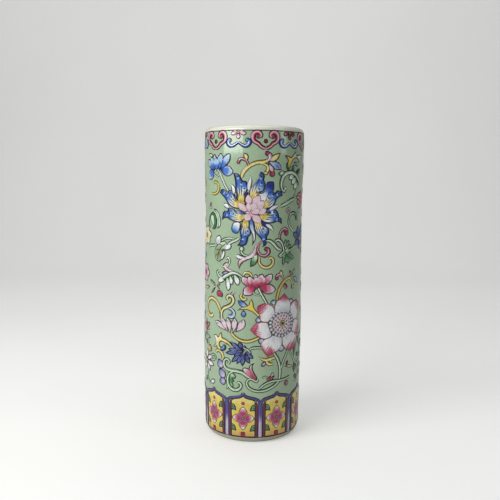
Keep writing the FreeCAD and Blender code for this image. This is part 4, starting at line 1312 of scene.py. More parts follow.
def upper_scroll(gold, green, red):
    """Stems, curls and leaves of the upper half of the front."""
    gold.stroke([
        (-10.8, 235.4), (-9.6, 239.4), (-6.4, 243.6), (-2, 246.8), (3, 248.6), (8, 249.2), (12, 250.4),
    ], [1.9, 2.1, 2, 1.8], GOLD_STEM)
    gold.curl([
        (5, 247.8), (9.4, 247), (12, 244.2), (11.2, 241.4), (9.6, 239.6),
    ], [1, 1.6, 2, 2.4], GOLD_STEM, 1.9, Wash("yellow straw"))
    red.curl([
        (9, 250), (12, 250.6), (13.4, 252.8), (12.6, 255.2), (10.8, 256.2),
    ], [1, 2, 2.4, 2.2], "line white blush pink line", 2.3)
    gold.petal((11.4, 249.4), (22.6, 257), 5.8, "blush straw yellow", bend=-0.1, belly=0.5)
    red.petal(
        (11.2, 249.2), (24, 242.4), 7, Wash("white sky blue cobalt", edge="white", reach=0.5), bend=0.14,
        belly=0.58,
    )
    red.petal((11.4, 248.4), (16.6, 238), 4.6, "white blush rose", bend=0.1, blunt=0.4)
    red.disc((15.4, 239), 2.7, RED_BALL, layer=2)
    red.curl([
        (-4.6, 245.2), (-6, 249), (-8.6, 251), (-11.8, 251.2), (-13.4, 248.6),
    ], [1.2, 1.3, 1.5, 1.6], "line crimson pink blush line", 1.7)
    gold.petal((-6.2, 249.4), (-8.8, 256.4), 4.4, "blush straw yellow", blunt=0.5, bend=-0.2)
    gold.stroke([
        (-40.6, 230.4), (-37.6, 231.8), (-34.4, 230), (-33.2, 226.4), (-35.2, 222.8), (-39.4, 221.2),
        (-43.6, 221.8),
    ], [1.1, 1.5, 1.7, 1.6, 1.2], "olive ochre yellow straw olive")
    gold.petal((-47.6, 257), (-39.8, 254.4), 3.4, "straw white", bend=-0.2)
    # The acanthus scroll at the upper right
    lobe = Wash("forest leaf mint white mint", line="forest", weight=1.1)
    for root, tip in [
        ((41, 239.4), (32.4, 234.2)), ((44.6, 236.8), (35.6, 230)), ((47.2, 233.2), (39, 225.8)),
    ]:
        green.petal(root, tip, 6.4, lobe, bend=-0.1, blunt=0.5)
    scroll = [
        (29.2, 227), (27.4, 224.2), (24.8, 226.4), (24.2, 231.4), (26, 236.8), (30.4, 240), (36.4, 240.6),
        (42.7, 238), (47.7, 232.7), (48.4, 228.6),
    ]
    green.stroke(scroll, [1.3, 1.5, 1.8, 2.1, 2.2, 2.1, 1.8, 1.2], PALE_STEM, layer=2, ends=TAPERED)
    green.disc((28.6, 226.6), 1.9, Wash("white mint", line="pine"), layer=4)
    green.petal((29.8, 240.8), (20.6, 239.2), 5.4, Wash("white mint leaf", line="pine"), bend=0.12)
    green.petal((31, 241.4), (29.6, 249), 2.2, "forest leaf", bend=0.1)
    green.petal((40, 239.6), (50, 244), 5, Wash("forest forest leaf", line="pine"), bend=-0.1)
    green.petal((36, 240.6), (38.6, 247.6), 4, Wash("forest leaf", line="pine"))
    gold.patch([
        (31.6, 242.4, 1), (29.8, 247.4), (30.4, 251), (26.8, 255, 1), (31.4, 254.8), (34.4, 253.8),
        (36.6, 255.4), (40.4, 259.2, 1), (42, 255.4), (46.6, 256.4), (53.6, 255.8, 1), (49.2, 252.6),
        (47.4, 249.6), (45.2, 249, 1), (44.4, 251.8), (41.2, 253), (37.6, 251.6), (35, 248.4), (34.2, 245),
    ], Wash("ochre yellow straw white", edge="ochre", reach=0.5, strength=0.4), (32, 243), (42, 258))
    red.petal((38.4, 249.4), (44.8, 245.8), 3.8, "white lavender slate", bend=0.1, blunt=0.4)
    # Stems that leave the great flower to the right
    green.stroke([(24, 211.4), (29.6, 213.4), (35.6, 216.2), (41, 217.8)], [1.8, 2.1, 2.1], STEM)
    green.stroke([(39.4, 219.2), (42.2, 222.4), (43.4, 227.6)], [0.8, 1, 0.6], STEM, ends=TAPERED)
    red.stroke([
        (36.4, 202.8), (34, 206), (31.6, 205.6), (31, 208), (33.4, 209.2), (35.4, 207.6),
    ], [1, 1.1, 1.2], "line blush pink line")
    green.stroke(
        [
            (39.6, 189.6), (35.8, 192.6), (33.8, 197.6), (35, 202.8), (39, 205.2), (43.6, 203.8),
            (45, 200.4), (43.4, 199),
        ],
        [1.4, 1.5, 1.5, 1.8, 2, 1.6],
        ["pine mint white mint pine", "pine leaf mint leaf pine", "pine forest leaf forest pine"],
    )


def middle_scroll(gold, green, red):
    """Stems, curls and leaves about the waist of the front."""
    c_curl = "line blush pink rose line"
    red.curl([
        (6.6, 181.6), (4.2, 177.8), (3.8, 173), (6.4, 169.4), (10.4, 168.8), (13.2, 171.4), (12.8, 174.4),
        (11, 174.6),
    ], [0.8, 1.2, 1.5, 1.8, 1.8], c_curl, 2.1, layer=2)
    gold.stroke([
        (5.2, 167.4), (5.4, 162.4), (8.8, 159), (13.6, 158.8), (17, 161.8), (17.2, 165.4), (15, 166.8),
        (13.6, 165.6),
    ], [1.2, 1.7, 1.9, 1.8, 1.4], GOLD_STEM)
    # The white and pink horn
    trunk = "line pink blush blush line"
    snow = "line white white blush line"
    red.stroke([
        (5.8, 182), (2.4, 177.6), (1.4, 172.8), (-1.2, 169), (-5.4, 167), (-9.6, 166.8), (-15, 168.4),
    ], [0.6, 1.3, 2.1, 2.4, 2, 1.9, 2.5], [trunk, trunk, snow, snow], layer=1, ends=SPROUTED)
    rose_end = "line rose crimson rose line"
    red.stroke([
        (-5.4, 166.4), (-9.2, 165), (-11.8, 162), (-12.2, 157),
    ], [1.8, 1.9, 2.2, 2.6], [snow, trunk, rose_end], ends=TAPERED, layer=2)
    green.petal((3.6, 172), (-2.6, 159), 6, Wash("white mint leaf forest", line="pine"), layer=3, bend=0.1)
    green.curl([
        (-1.4, 170), (-4.4, 168.6), (-8.2, 169.4), (-10.4, 171.8), (-10, 174.6),
    ], [0.6, 1.1, 1.5, 1.7], STEM, 2.4, Wash("mint mint forest", line="pine"))
    # Stems and the leaf at the right
    green.strokes([
        ([(11, 182), (14.6, 181.6), (18.6, 178.4), (22, 174.8), (25.4, 173.4)], [1.6, 1.9, 1.8]),
        ([(18.8, 180.8), (21.8, 182.4), (25.2, 180.6), (27.4, 176.6), (28.6, 172)], [1.4, 1.6, 1.6], 2),
    ], PALE_STEM)
    green.patch(
        [
            (25.6, 178.6, 1), (29.4, 179.6), (31.2, 176.4), (33.6, 177.6), (34.6, 174.6), (37.6, 173.6),
            (36.6, 170.6), (40.4, 167.6), (41.6, 164.6, 1), (38, 163.6), (35.6, 162.6, 1), (33.4, 160.2, 1),
            (31.2, 162.4), (29.6, 161.6), (27.6, 159.4, 1), (26.2, 162.4), (26.8, 166.4), (24.4, 166.4),
            (22, 168.4), (24, 170.8), (26.2, 172.6),
        ],
        Wash("mint mint leaf leaf", edge="white", reach=0.6, strength=0.4, line="pine", weight=1.1),
        (27, 178), (34, 163),
    )
    for tip in ((30.6, 182.6), (34.6, 181.6), (37.4, 177.6), (38.6, 173.6)):
        green.petal((29.6, 172.6), tip, 3.8, Wash("mint leaf", line="pine"), layer=0, blunt=0.4, belly=0.7)
    for path in (
        [(27.6, 177.4), (29.6, 171.4), (33, 167), (38.4, 164.8)], [(29.4, 172), (26.8, 169.4), (25, 168.6)],
        [(30.6, 169.6), (29.4, 165.6), (28.8, 162.6)], [(31.6, 168.4), (34.8, 170.4), (37, 170.2)],
        [(29.6, 173), (32.6, 175), (33.4, 176)],
    ):
        green.stroke(path, [0.35, 0.45, 0.2], "forest", layer=3, ends=TAPERED)
    green.stroke([(33.4, 172.6), (38, 173.8), (42.6, 176.4)], [1, 1.3, 1.2], PALE_STEM, layer=3)
    red.curl([
        (25, 181), (23.8, 185.4), (25.2, 189.4), (28.6, 191.4), (31.2, 189.8), (31, 188),
    ], [1, 1.5, 2.2, 2.4], "line blush pink rose crimson line", 2.7)
    # The veined leaf and its stems at the left
    leaf = Wash("mint sage sage", edge="mint", reach=0.9, strength=0.6, line="pine")
    green.patch([
        (-22.4, 177.4, 1), (-26, 180.6), (-30, 180.2), (-34.6, 177.2), (-38.4, 172.6), (-38.6, 167),
        (-36, 162.8), (-32.6, 161.6, 1), (-29, 164.6), (-27.4, 169.2), (-28.4, 173), (-25, 172.2),
        (-22.4, 174.6),
    ], leaf, (-24, 179), (-35, 163))
    green.stroke([
        (-24.8, 178.6), (-30, 174.8), (-33.6, 168.6), (-34, 163),
    ], [0.4, 0.5, 0.3], "olive", layer=4, ends=POINTED)
    for root, tip in [
        ((-28.6, 176.2), (-33.8, 177.4)), ((-31.4, 172.8), (-36.8, 172)), ((-33, 169.4), (-37, 166.6)),
        ((-30.6, 173.6), (-28.6, 169.4)), ((-32.6, 170), (-30.4, 165.6)),
    ]:
        green.stroke([
            root, ((root[0] + tip[0]) / 2, (root[1] + tip[1]) / 2 + 0.4), tip,
        ], [0.25, 0.3, 0.15], "olive", layer=4, ends=POINTED)
    red.patch([
        (-30.4, 178.4, 1), (-30.2, 183), (-32.4, 185.4), (-35.4, 184.4), (-37.6, 181), (-36.6, 177.6),
        (-33.4, 176.6),
    ], Wash("lavender white", edge="white"), (-32, 177), (-33, 185), layer=2)
    red.patch([
        (-27, 175.2, 1), (-24.6, 178), (-20.6, 179), (-19.4, 176), (-21.6, 173.2), (-25.6, 172.6),
    ], PEARL, (-27, 173), (-21, 177), layer=2)
    red.patch([
        (-31.8, 164, 1), (-28.8, 163.8), (-26, 167.6), (-25.8, 171.6), (-28.2, 172.4), (-29.6, 169),
    ], PEARL, (-32, 162), (-28, 170), layer=2)
    green.curl([
        (-32.8, 162), (-29.6, 158.8), (-25.6, 158.2), (-22.4, 160.2), (-21.2, 163.6), (-22.8, 166.2),
        (-24.6, 165.4),
    ], [0.8, 1.2, 1.3, 1.3], PALE_STEM, 1.1, Wash("mint white", line="forest"))
    green.stroke([(-30, 180.6), (-26, 182.6), (-21, 183.4), (-16.6, 182.6)], [1.2, 1.3, 1], STEM)
    green.strokes([
        ([(-22.8, 178.4), (-18.6, 180.4), (-14.4, 182.4), (-12.4, 184)], [1.5, 1.6, 1.4], 1),
        ([(-49.6, 173.6), (-45.4, 175.4), (-41, 175.8), (-37.6, 176.4)], [1.2, 1.5, 1.3]),
    ], PALE_STEM)
    # The curled leaf at the left edge
    ring = [
        (-42.5, 190.4), (-38.6, 192.4), (-37.4, 198), (-39.6, 203), (-43.6, 203.6), (-47.2, 200.2),
        (-48.6, 195), (-46.8, 191),
    ]
    green.stroke(ring, [0.8, 1.8, 2.3, 1.8, 1.2, 1, 0.8, 0.6], "pine forest leaf forest pine", layer=2)
    green.patch([
        (-41, 208.6, 1), (-36.6, 207.6), (-33.2, 204.6), (-31.2, 200), (-30.8, 195.4), (-32.4, 192, 1),
        (-35.6, 190.6, 1), (-34, 195.2), (-34.2, 199.6), (-36.6, 204),
    ], Wash("white mint white", line="pine"), (-34, 191), (-39, 208))
    green.patch([
        (-39.8, 206.4), (-35.6, 203.8), (-33.2, 199.4), (-34, 193.6), (-37.6, 191.8), (-43.4, 194.4),
        (-46.6, 199), (-45, 203.6),
    ], Wash("leaf mint mint mint", line="leaf", weight=0.6), (-46, 196), (-35, 204), layer=0)


def fern_and_buds(gold, green, red):
    """The fern leaf, buds and hooks round the pink lotus."""
    lobe = Wash("mint mint white mint", line="pine")
    for root, tip, width, bend in [
        ((-18.2, 152.6), (-13.2, 142.4), 5.8, 0.24), ((-21.4, 152), (-19.2, 142.4), 4.8, 0.14),
        ((-25.2, 151.4), (-22.4, 137), 5.6, 0.18), ((-22.6, 151.4), (-34, 144.2), 6, 0.06),
    ]:
        green.petal(root, tip, width, lobe, bend=bend, blunt=0.9, belly=0.6)
    green.strokes([
        ([(-28.6, 147.8), (-32.6, 149.2), (-34.6, 152.4), (-32.8, 154.2)], [1.2, 1.6, 1.5], 1),
        ([
            (-9.2, 149.6), (-13.6, 152.4), (-18.6, 152.8), (-23, 150.8), (-26.4, 148.8), (-28.6, 147.4),
        ], [1.2, 1.8, 2.3, 2], 2),
    ], PALE_STEM)
    red.petal((-20.4, 153), (-29.6, 152.4), 4.2, "white lavender slate", bend=0.06, blunt=0.3)
    red.stroke([
        (-16.6, 154), (-21, 154.8), (-25.2, 156.6), (-26.2, 159.2), (-24, 160.6), (-22.4, 159.2),
    ], [1.2, 1.9, 1.9, 1.5], "line pink blush white line")
    red.petals([
        ((-36, 139.4), (-30.6, 142.6), 2.4), ((-36.6, 139.2), (-43.4, 132.2), 2.6),
        ((-37, 139.6), (-41, 143.4), 3), ((-34.4, 139.8), (-31.4, 137.4), 2),
    ], "blush pink forest")
    green.petal((-38.6, 141.2), (-45.6, 144.6), 3, "mint forest")
    red.patch([
        (-31.4, 131, 1), (-34, 130.8), (-35.6, 133.4), (-34.4, 136), (-31.6, 136.8), (-28.8, 135.6),
        (-27.6, 133), (-28.6, 130.6),
    ], Wash("crimson rose pink", edge="rose"), (-31.4, 131), (-31.6, 137))
    gold.strokes([
        ([(-0.6, 150.4), (-3.2, 153.6), (-6.6, 153.8), (-8.6, 151.4)], [1.2, 1.6, 1.5, 1.2]),
        ([(-9.4, 135.8), (-10.4, 133), (-8.8, 130.8), (-6.4, 130.8), (-6.2, 132.6)], [1.2, 1.7, 1.8, 1.4]),
    ], GOLD_STEM)
    red.curl([
        (28.6, 147.4), (27, 150.4), (23.6, 151.8), (21.2, 150.6), (21.2, 148.6),
    ], [1.1, 1.5, 1.7], "line pink blush line", 1.9)
    gold.petal((27.2, 149.6), (25.6, 155.8), 4.2, "blush straw yellow", blunt=0.5, bend=0.2)
    gold.stroke([
        (21.4, 129.6), (22.4, 134.6), (24.4, 140), (28, 144.6), (32.8, 147.6), (38.4, 148.8),
    ], [1.7, 1.9, 1.8, 1.6], "olive ochre yellow straw olive")
    gold.curl([
        (33.4, 147.8), (37.4, 146.4), (39.6, 143), (40.2, 139.8),
    ], [1, 1.4, 2], GOLD_STEM, 2.2, Wash("amber straw"))
    red.stroke([(27.6, 142.6), (30.4, 141.4), (31.4, 138.2)], [1.2, 2.2, 2.4], "line crimson pink line")
    red.petal((39.2, 149.4), (35.8, 155), 3, "white pink crimson", bend=0.1)
    red.petal((39.6, 149.8), (42.8, 156), 3.2, "white blush pink", bend=-0.1)
    red.petal((39.6, 148.4), (48.8, 142.4), 5.2, Wash("white sky cobalt", edge="sky"), bend=0.14)


def lower_scroll(gold, green, red):
    """Stems, curls and leaves of the lower half of the front."""
    gold.stroke([
        (-29.6, 110.6), (-29.8, 116.4), (-31.6, 121), (-35, 125.6), (-39.4, 127.8), (-44.2, 127.6),
        (-48.4, 124.6), (-50, 119.6), (-49, 115.2), (-45.6, 112.4), (-41.8, 112.4), (-39.8, 115),
    ], [1.8, 2, 2.1, 2.1, 2.2], GOLD_STEM)
    gold.stroke([
        (-28.6, 110.8), (-29.2, 116.6), (-27, 120.8), (-22.4, 123.2), (-18.8, 125.6), (-17.2, 129.2),
        (-18.6, 132.2), (-21.6, 132.8), (-23.2, 130.8), (-21.8, 129.2),
    ], [1.8, 2, 2, 1.9, 1.7], "line ochre straw mint line", layer=1)
    red.stroke([
        (-18.2, 131.8), (-18.4, 134.6), (-16.6, 136), (-14.4, 136.4),
    ], [1.8, 1.6, 1], "line blush pink line", ends=TAPERED)
    red.stroke([
        (-24.6, 121.6), (-20.6, 121.6), (-17.4, 119.6), (-16.8, 116.6), (-19.2, 114.6), (-22.6, 115.2),
    ], [1, 1.6, 2, 2.4, 1.6], "line white sky blue line")
    # The blue and yellow trefoil
    red.petal((-3.2, 124.6), (-13, 129.8), 5.6, "white sky blue navy", bend=0.2)
    red.petal((-8, 121.6), (-7.8, 114.6), 5.2, "white sky blue blue", layer=0, blunt=0.5, belly=0.62)
    gold.patch([
        (-13.6, 120.2, 1), (-10.4, 123.2), (-6.4, 124.6), (-3.6, 126), (-3, 128.8), (-1, 131.4, 1),
        (0.4, 128), (1.2, 124.2), (3.2, 120.8), (6.4, 117), (4.6, 115.2), (2.2, 117.4), (-1, 119.8),
        (-5.4, 121.4), (-9.6, 121.2),
    ], Wash("white straw yellow yellow straw", line="olive"), (-13, 120), (6, 117))
    # The hooked yellow and blue scroll at the left
    gold.stroke([
        (-18.4, 88.2), (-22, 91), (-26.8, 92.8), (-31.2, 92), (-33.2, 88.8), (-32.6, 85.4), (-29.6, 84),
        (-26.8, 85), (-26.2, 87.2),
    ], [1.6, 2, 2.2, 2.2, 2], "line yellow straw ochre line", layer=1)
    red.stroke([
        (-30.4, 84.2), (-27.2, 84.4), (-25.6, 86.6), (-27.2, 88),
    ], [1.6, 2.2, 1.8], "line sky blue navy line", layer=3)
    gold.patch([
        (-20.6, 88, 1), (-24, 92.6), (-27.6, 94.6), (-28.6, 99.8, 1), (-31.2, 97.4), (-32.6, 94.8),
        (-35.6, 96.4), (-38.8, 95.2, 1), (-36.6, 92.2), (-35.8, 88.2), (-39.8, 84.6, 1), (-36, 84.6),
        (-33.4, 86.8), (-32.6, 89.6), (-29.4, 91.2), (-25, 89.8),
    ], Wash("yellow straw white", line="olive"), (-22, 89), (-38, 90), layer=2)
    gold.disc((-45, 81.6), 3.5, Wash("yellow yellow amber red", edge="ochre"))
    gold.stroke([
        (-27.2, 75), (-27.6, 79), (-30.4, 82), (-33.6, 82), (-35.6, 79.8),
    ], [1.6, 2, 2, 1.4], GOLD_STEM)
    green.stroke([
        (-40.4, 73.8), (-38.8, 75), (-37.4, 73.4), (-39, 71.8), (-42, 72.8), (-42.6, 75.6), (-39.4, 77.2),
        (-36, 76), (-35.2, 73),
    ], [1, 1.2, 1.2, 1], STEM)
    # Bellflowers
    for root, tip, width, bend in [
        ((-28.4, 66.2), (-32.4, 74.6), 8.2, 0.06), ((-24.8, 58.4), (-31.4, 66), 8.4, -0.04),
        ((-23.8, 55.6), (-31.4, 54.2), 7.6, 0.02),
    ]:
        red.petal(
            tip, root, width, Wash("blue lavender white", edge="iris", reach=0.7), blunt=0.7, bend=bend,
            belly=0.55,
        )
    # The green spiral, its leaf and the pink tulip
    green.strokes([
        ([
            (-21.6, 71.4), (-20.6, 73.8), (-22.4, 75.8), (-25, 74.8), (-26, 71.2), (-24.2, 67.8),
            (-19.8, 66.4), (-13.8, 66.2), (-8.6, 65.2), (-4.6, 62.4), (-1.2, 60.2),
        ], [1.4, 1.6, 1.8, 2, 2.2, 2, 1.6], 1),
        ([
            (-16.8, 65.4), (-20.4, 62.8), (-22, 58), (-21.2, 53), (-18, 49.6), (-13.8, 49), (-10.4, 51.2),
            (-9.8, 54.2), (-11.6, 55.8), (-13.2, 54.6),
        ], [1.2, 1.8, 2.2, 2, 1.6, 1.3], 1),
    ], STEM)
    green.patch(
        [
            (-18.6, 64.6, 1), (-15.4, 63.4), (-14, 61, 1), (-15.2, 58.6), (-17, 59.2, 1), (-15.8, 56.6),
            (-17.4, 55.2, 1), (-16.2, 52.6), (-17.6, 50.6, 1), (-20.2, 53.4), (-20.8, 58.2), (-20.2, 62),
        ],
        Wash("mint leaf mint", edge="forest", reach=0.6, strength=0.5, line="forest"), (-18, 64), (-18, 51),
        layer=2,
    )
    green.petal((-21.4, 55), (-23.4, 47.8), 2.4, "leaf mint", bend=0.1)
    tulip = Wash("white pink rose crimson", edge="blush", reach=0.4, strength=0.3)
    red.petal((-8.2, 69.4), (4.8, 57.6), 7.2, tulip, bend=0.05, belly=0.42, blunt=0.3)
    red.patch([
        (2.2, 74.2, 1), (-1, 73), (-3, 69.8), (-2, 66), (0.4, 62), (5, 57.6, 1), (4.2, 61.4), (1.8, 65.8),
        (0.4, 69.6), (0.8, 72.4),
    ], tulip, (1.6, 74), (5, 58), layer=3)
    green.strokes([
        ([
            (5.2, 59.6), (4, 57.2), (2.6, 57.6), (0, 59.2), (-3.2, 58.8), (-4.6, 55.6), (-2.8, 51.8),
            (1.6, 49.2), (7, 48.4), (12.6, 49.2), (18, 51.4), (22.4, 54), (25.2, 57.2),
        ], [1.2, 1.4, 1.5, 1.6, 1.8, 1.9]),
        ([
            (6.4, 50.4), (9.2, 53.4), (13.8, 55.8), (19.4, 57), (25.6, 56.6), (31.6, 57), (37.6, 58.2),
        ], [1.2, 1.6, 1.6, 1.3], 1),
    ], STEM)
    # Small buds
    gold.stroke([
        (5.2, 81.2), (7.6, 78.2), (11.6, 76.6), (16, 77.4), (20.4, 78.4),
    ], [0.9, 1.8, 2.2, 1.4], GOLD_STEM, ends=SPROUTED)
    gold.strokes([
        ([(12.4, 76.4), (13.6, 73.6), (16.4, 72.4), (18.8, 73.2)], [1.8, 2, 1.4]),
        ([(20.2, 77.4), (17.2, 77), (15.6, 75.2)], [1, 1.2, 0.8]),
    ], GOLD_STEM)
    red.petal((12.2, 75.4), (7.8, 70.8), 4.2, "white lavender navy", layer=2, blunt=0.4)
    green.stroke([(8.4, 60.2), (11.4, 61.4), (14, 60.8)], [0.8, 1, 0.8], STEM)
    red.petal((13, 61.4), (16.6, 57), 3.2, "pink crimson", bend=-0.2)
    red.disc((16.6, 59.6), 2.4, RED_BALL)
    red.petal((16.6, 59.6), (18.8, 65), 2.8, "rose blush white", layer=3)
    red.petal((17, 58.8), (20.4, 61.6), 2, "rose pink", layer=3)


def side_flowers(petals, gold, green):
    """Flowers that the front shows at its two edges."""
    rose = Wash("crimson rose pink white", edge="crimson", reach=0.5)
    petals.flower((54, 217), 9.5, 8.5, 7.6, rose, (2.4, Wash("amber straw")), blunt=0.4, start=20)
    gold.stroke([
        (43.6, 219), (47.2, 218.8), (50.4, 216.4),
    ], [1, 1.6, 1.4], "line amber straw line", layer=6)
    petals.petal((51, 211), (49, 204.6), 4, "pink white", layer=0, blunt=0.4)
    blue = Wash("navy cobalt blue sky", edge="navy", reach=0.5)
    petals.petals([
        ((52, 182), (40, 187.4), 6.6), ((52, 182), (48.4, 193.6), 7.4), ((52, 182), (60, 192.6), 7.4),
        ((52, 182), (42.6, 177.2), 6), ((52, 182), (53.6, 171.4), 7.4), ((52, 182), (63.4, 177.6), 7),
        ((52, 182), (64.6, 185.6), 6.4),
    ], blue, blunt=0.4, belly=0.6)
    petals.disc((52, 182), 2.4, "straw yellow", layer=4)
    cream = Wash("amber straw white", edge="white", reach=0.5)
    petals.flower((-54, 184), 10, 9.5, 8, cream, (2.4, Wash("ochre yellow")), start=10)
    pink = Wash("crimson pink blush white", edge="rose", reach=0.5)
    petals.flower((-57, 150), 10.5, 9, 8.2, pink, (2.6, Wash("navy blue")))
    petals.petals([
        ((-52, 101), (-45, 104.8), 4.4), ((-52, 101), (-46.4, 98.2), 4), ((-52, 101), (-54, 108), 5),
        ((-52, 101), (-60, 102), 5), ((-52, 101), (-54, 94.4), 5),
    ], "crimson rose white", blunt=0.4)
    petals.disc((-52, 101), 1.8, "straw amber", layer=4)
    petals.petal((-48, 210.5), (-44, 213.2), 3.4, "crimson pink")
    petals.petal((-48, 210.5), (-43.6, 208.4), 3.4, "rose white")
    snow = Wash("pink white white", edge="blush", reach=0.6)
    petals.petals([
        ((-50.4, 70), (-41.6, 75.4), 5.4), ((-50.4, 69), (-38.4, 67), 5.8),
        ((-50.6, 68.4), (-44.2, 60.6), 5.4), ((-51, 70.6), (-49.4, 80), 5.6), ((-52, 69), (-60, 72), 5.6),
        ((-51.4, 68.2), (-55, 60.6), 5.4),
    ], snow, blunt=0.4)
    petals.disc((-50.8, 69.4), 2, "amber straw", layer=4)
    green.stroke([(-47.6, 61.6), (-49.6, 56), (-47.4, 51), (-43.6, 49.4)], [1.1, 1.3, 1], STEM)
    petals.petal((-44.6, 49.6), (-36.8, 53.4), 4.8, "leaf white white", blunt=0.4)
    green.petal((-48.8, 55), (-55.6, 49), 4.4, Wash("leaf forest", line="pine"))
    green.stroke([(-49, 79), (-47.4, 85), (-49.4, 91), (-48, 96.4)], [1, 1.2, 1], STEM)
    green.petal((-48, 84.4), (-55, 88.6), 4.4, Wash("leaf forest", line="pine"))
    gold.petal((-58, 136.6), (-46.2, 138.2), 3.6, "yellow straw ochre", bend=-0.1)
    green.petal((-58, 95), (-43.4, 91.2), 4.4, Wash("forest leaf mint", line="pine"), layer=0, bend=-0.1)
    green.strokes([
        ([(49.6, 67), (54, 72.6), (55.6, 80), (54, 88), (55, 96)], [1.2, 1.3, 1]),
        ([(49.6, 67), (52.6, 61), (51.6, 54.6), (47, 50.4)], [1.2, 1.2, 1]),
    ], STEM)
    green.petals([
        ((43.2, 75), (45.6, 92.4), 5), ((45, 71.4), (44.8, 59.6), 5.6), ((47, 77), (53, 75), 4.4),
        ((55, 84), (49.6, 92.6), 5.4), ((55, 81), (62, 89), 5.6), ((54, 73), (61, 75), 5),
        ((49, 67.4), (44.4, 62.4), 4.8), ((52.6, 60), (60, 56), 5.4), ((52, 62), (58, 67), 5),
        ((51, 54.6), (44, 57), 4.8),
    ], Wash("forest forest leaf", line="pine"))
    gold.petal((30.6, 68.4), (41, 66), 3.2, "blush straw yellow", bend=0.12)
    petals.petal((35, 73.4), (32.4, 69.4), 3.4, "crimson red")
    petals.disc((33.4, 52.6), 2.6, "crimson pink")
    green.stroke([(36, 81.6), (41, 76.4), (44.6, 70.4), (49.8, 67)], [1, 1.4, 1.2], STEM)


# The vines' lowest and highest points, the step between their bends and their sway
VINE_HEIGHTS = (50, 257)
VINE_STEP = 9
VINE_SWAY = 3.6
VINE_WAVE = 0.085


def side_vines(gold, green, red):
    """Stems that climb the two sides, between the front's and the back's flowers."""
    for side in (1, -1):
        middle = side * GIRTH / 4
        heights = range(*VINE_HEIGHTS, VINE_STEP)
        bends = [(middle + VINE_SWAY * math.sin(VINE_WAVE * (z - 60) + side), z) for z in heights]
        green.stroke(bends, 1.3, STEM)
        for number, (u, z) in enumerate(bends[1:-1]):
            hand = 1 if number % 2 else -1
            kind = number % 6
            tip = (u + hand * 9.5, z + 6.5)
            if kind in (0, 3):
                green.petal((u, z), tip, 5.2, Wash("mint leaf forest", line="pine"), bend=-0.12 * hand)
                vein = [(u + hand * share * 9.5, z + share * 6.5) for share in (0.15, 0.5, 0.85)]
                green.stroke(vein, [0.2, 0.3, 0.15], "mint", layer=2, ends=POINTED)
            elif kind in (1, 4):
                hook = [
                    (u, z), (u + hand * 3.6, z + 3.8), (u + hand * 7.6, z + 3.2), (u + hand * 8.2, z - 0.4),
                    (u + hand * 5.4, z - 0.8),
                ]
                gold.curl(hook, [0.8, 1.3, 1.5, 1.3], GOLD_STEM, 1.5, Wash("yellow straw", line="olive"))
            else:
                shades = Wash("white pink crimson") if kind == 2 else Wash("white sky cobalt")
                green.stroke([
                    (u, z), (u + hand * 3.4, z + 1.4), (u + hand * 5.6, z + 4.2),
                ], 0.9, STEM, layer=1)
                for lean in (-3, 0, 3):
                    tip = (u + hand * 7 + lean, z + 10.4 - abs(lean) * 0.7)
                    red.petal(
                        (u + hand * 5.4, z + 3.6), tip, 3.4, shades, layer=2 - int(lean != 0), blunt=0.3,
                    )


BACK_TINTS = [
    ("cobalt", "crimson"), ("blue", "rose"), ("sky", "pink"), ("lavender", "petal"), ("crimson", "violet"),
    ("rose", "iris"), ("pink", "lavender"), ("blush", "mist"), ("rosewood", "slate"),
]


def flower_scroll():
    """The flower scroll: the front as the photograph shows it, its like on the back."""
    great, hearts, lotus = Enamel(), Enamel(), Enamel()
    gold, green, red = Enamel(), Enamel(), Enamel()
    peony, peony_heart, aster, edges = Enamel(), Enamel(), Enamel(), Enamel()
    batches = [great, hearts, lotus, gold, green, red, peony, peony_heart, aster, edges]
    for back in (False, True):
        if back:
            for batch in batches:
                batch.draw_at(GIRTH / 2, mirrored=True, tints=BACK_TINTS)
        great_flower(great, hearts)
        blue_lotus(aster, green)
        blue_aster(aster, green)
        pink_lotus(lotus, green)
        pale_lotus(lotus, gold)
        great_peony(peony, peony_heart, green)
        upper_scroll(gold, green, red)
        middle_scroll(gold, green, red)
        fern_and_buds(gold, green, red)
        lower_scroll(gold, green, red)
        side_flowers(edges, gold, green)
    for batch in batches:
        batch.draw_at(0.0)
    side_vines(gold, green, red)
    great.build("great_flower_blue_wings", "blue_enamel")
    hearts.build("great_flower_lotus_heart", "white_enamel")
    lotus.build("pink_lotus_flowers", "rose_enamel")
    aster.build("blue_small_flowers", "blue_enamel")
    peony.build("peony_white_petals", "white_enamel")
    peony_heart.build("peony_beaded_heart", "violet_enamel")
    edges.build("side_flowers", "rose_enamel")
    gold.build("golden_scroll_stems", "yellow_enamel")
    green.build("green_stems_and_leaves", "green_enamel")
    red.build("buds_and_petals", "red_enamel")


# The photograph's view: its turns in degrees, its place in millimetres and its focal
# length in pixels of the image's width
VIEW_TURNS = (-0.23, 6.37, 0.58)
VIEW_PLACE = (-0.74, -586.0, 234.3)
VIEW_FOCUS = 633.7
SENSOR_WIDTH = 36.0
IMAGE_WIDTH = 500


def camera():
    """A long lens a little above the mouth, as the photograph was taken."""
    yaw, pitch, roll = (math.radians(turn) for turn in VIEW_TURNS)
    ahead = Vector((math.sin(yaw) * math.cos(pitch), math.cos(yaw) * math.cos(pitch), -math.sin(pitch)))
    flat = Vector((math.cos(yaw), -math.sin(yaw), 0))
    upright = flat.cross(ahead)
    right = flat * math.cos(roll) + upright * math.sin(roll)
    up = -flat * math.sin(roll) + upright * math.cos(roll)
    lens = bpy.data.cameras.new("view")
    lens.sensor_width = SENSOR_WIDTH
    lens.lens = VIEW_FOCUS / IMAGE_WIDTH * lens.sensor_width
    view = bpy.data.objects.new("view", lens)
    bpy.context.scene.collection.objects.link(view)
    place = Vector(VIEW_PLACE) * MM
    turned = Matrix((right, up, -ahead)).transposed().to_4x4()
    view.matrix_world = Matrix.Translation(place) @ turned
    bpy.context.scene.camera = view


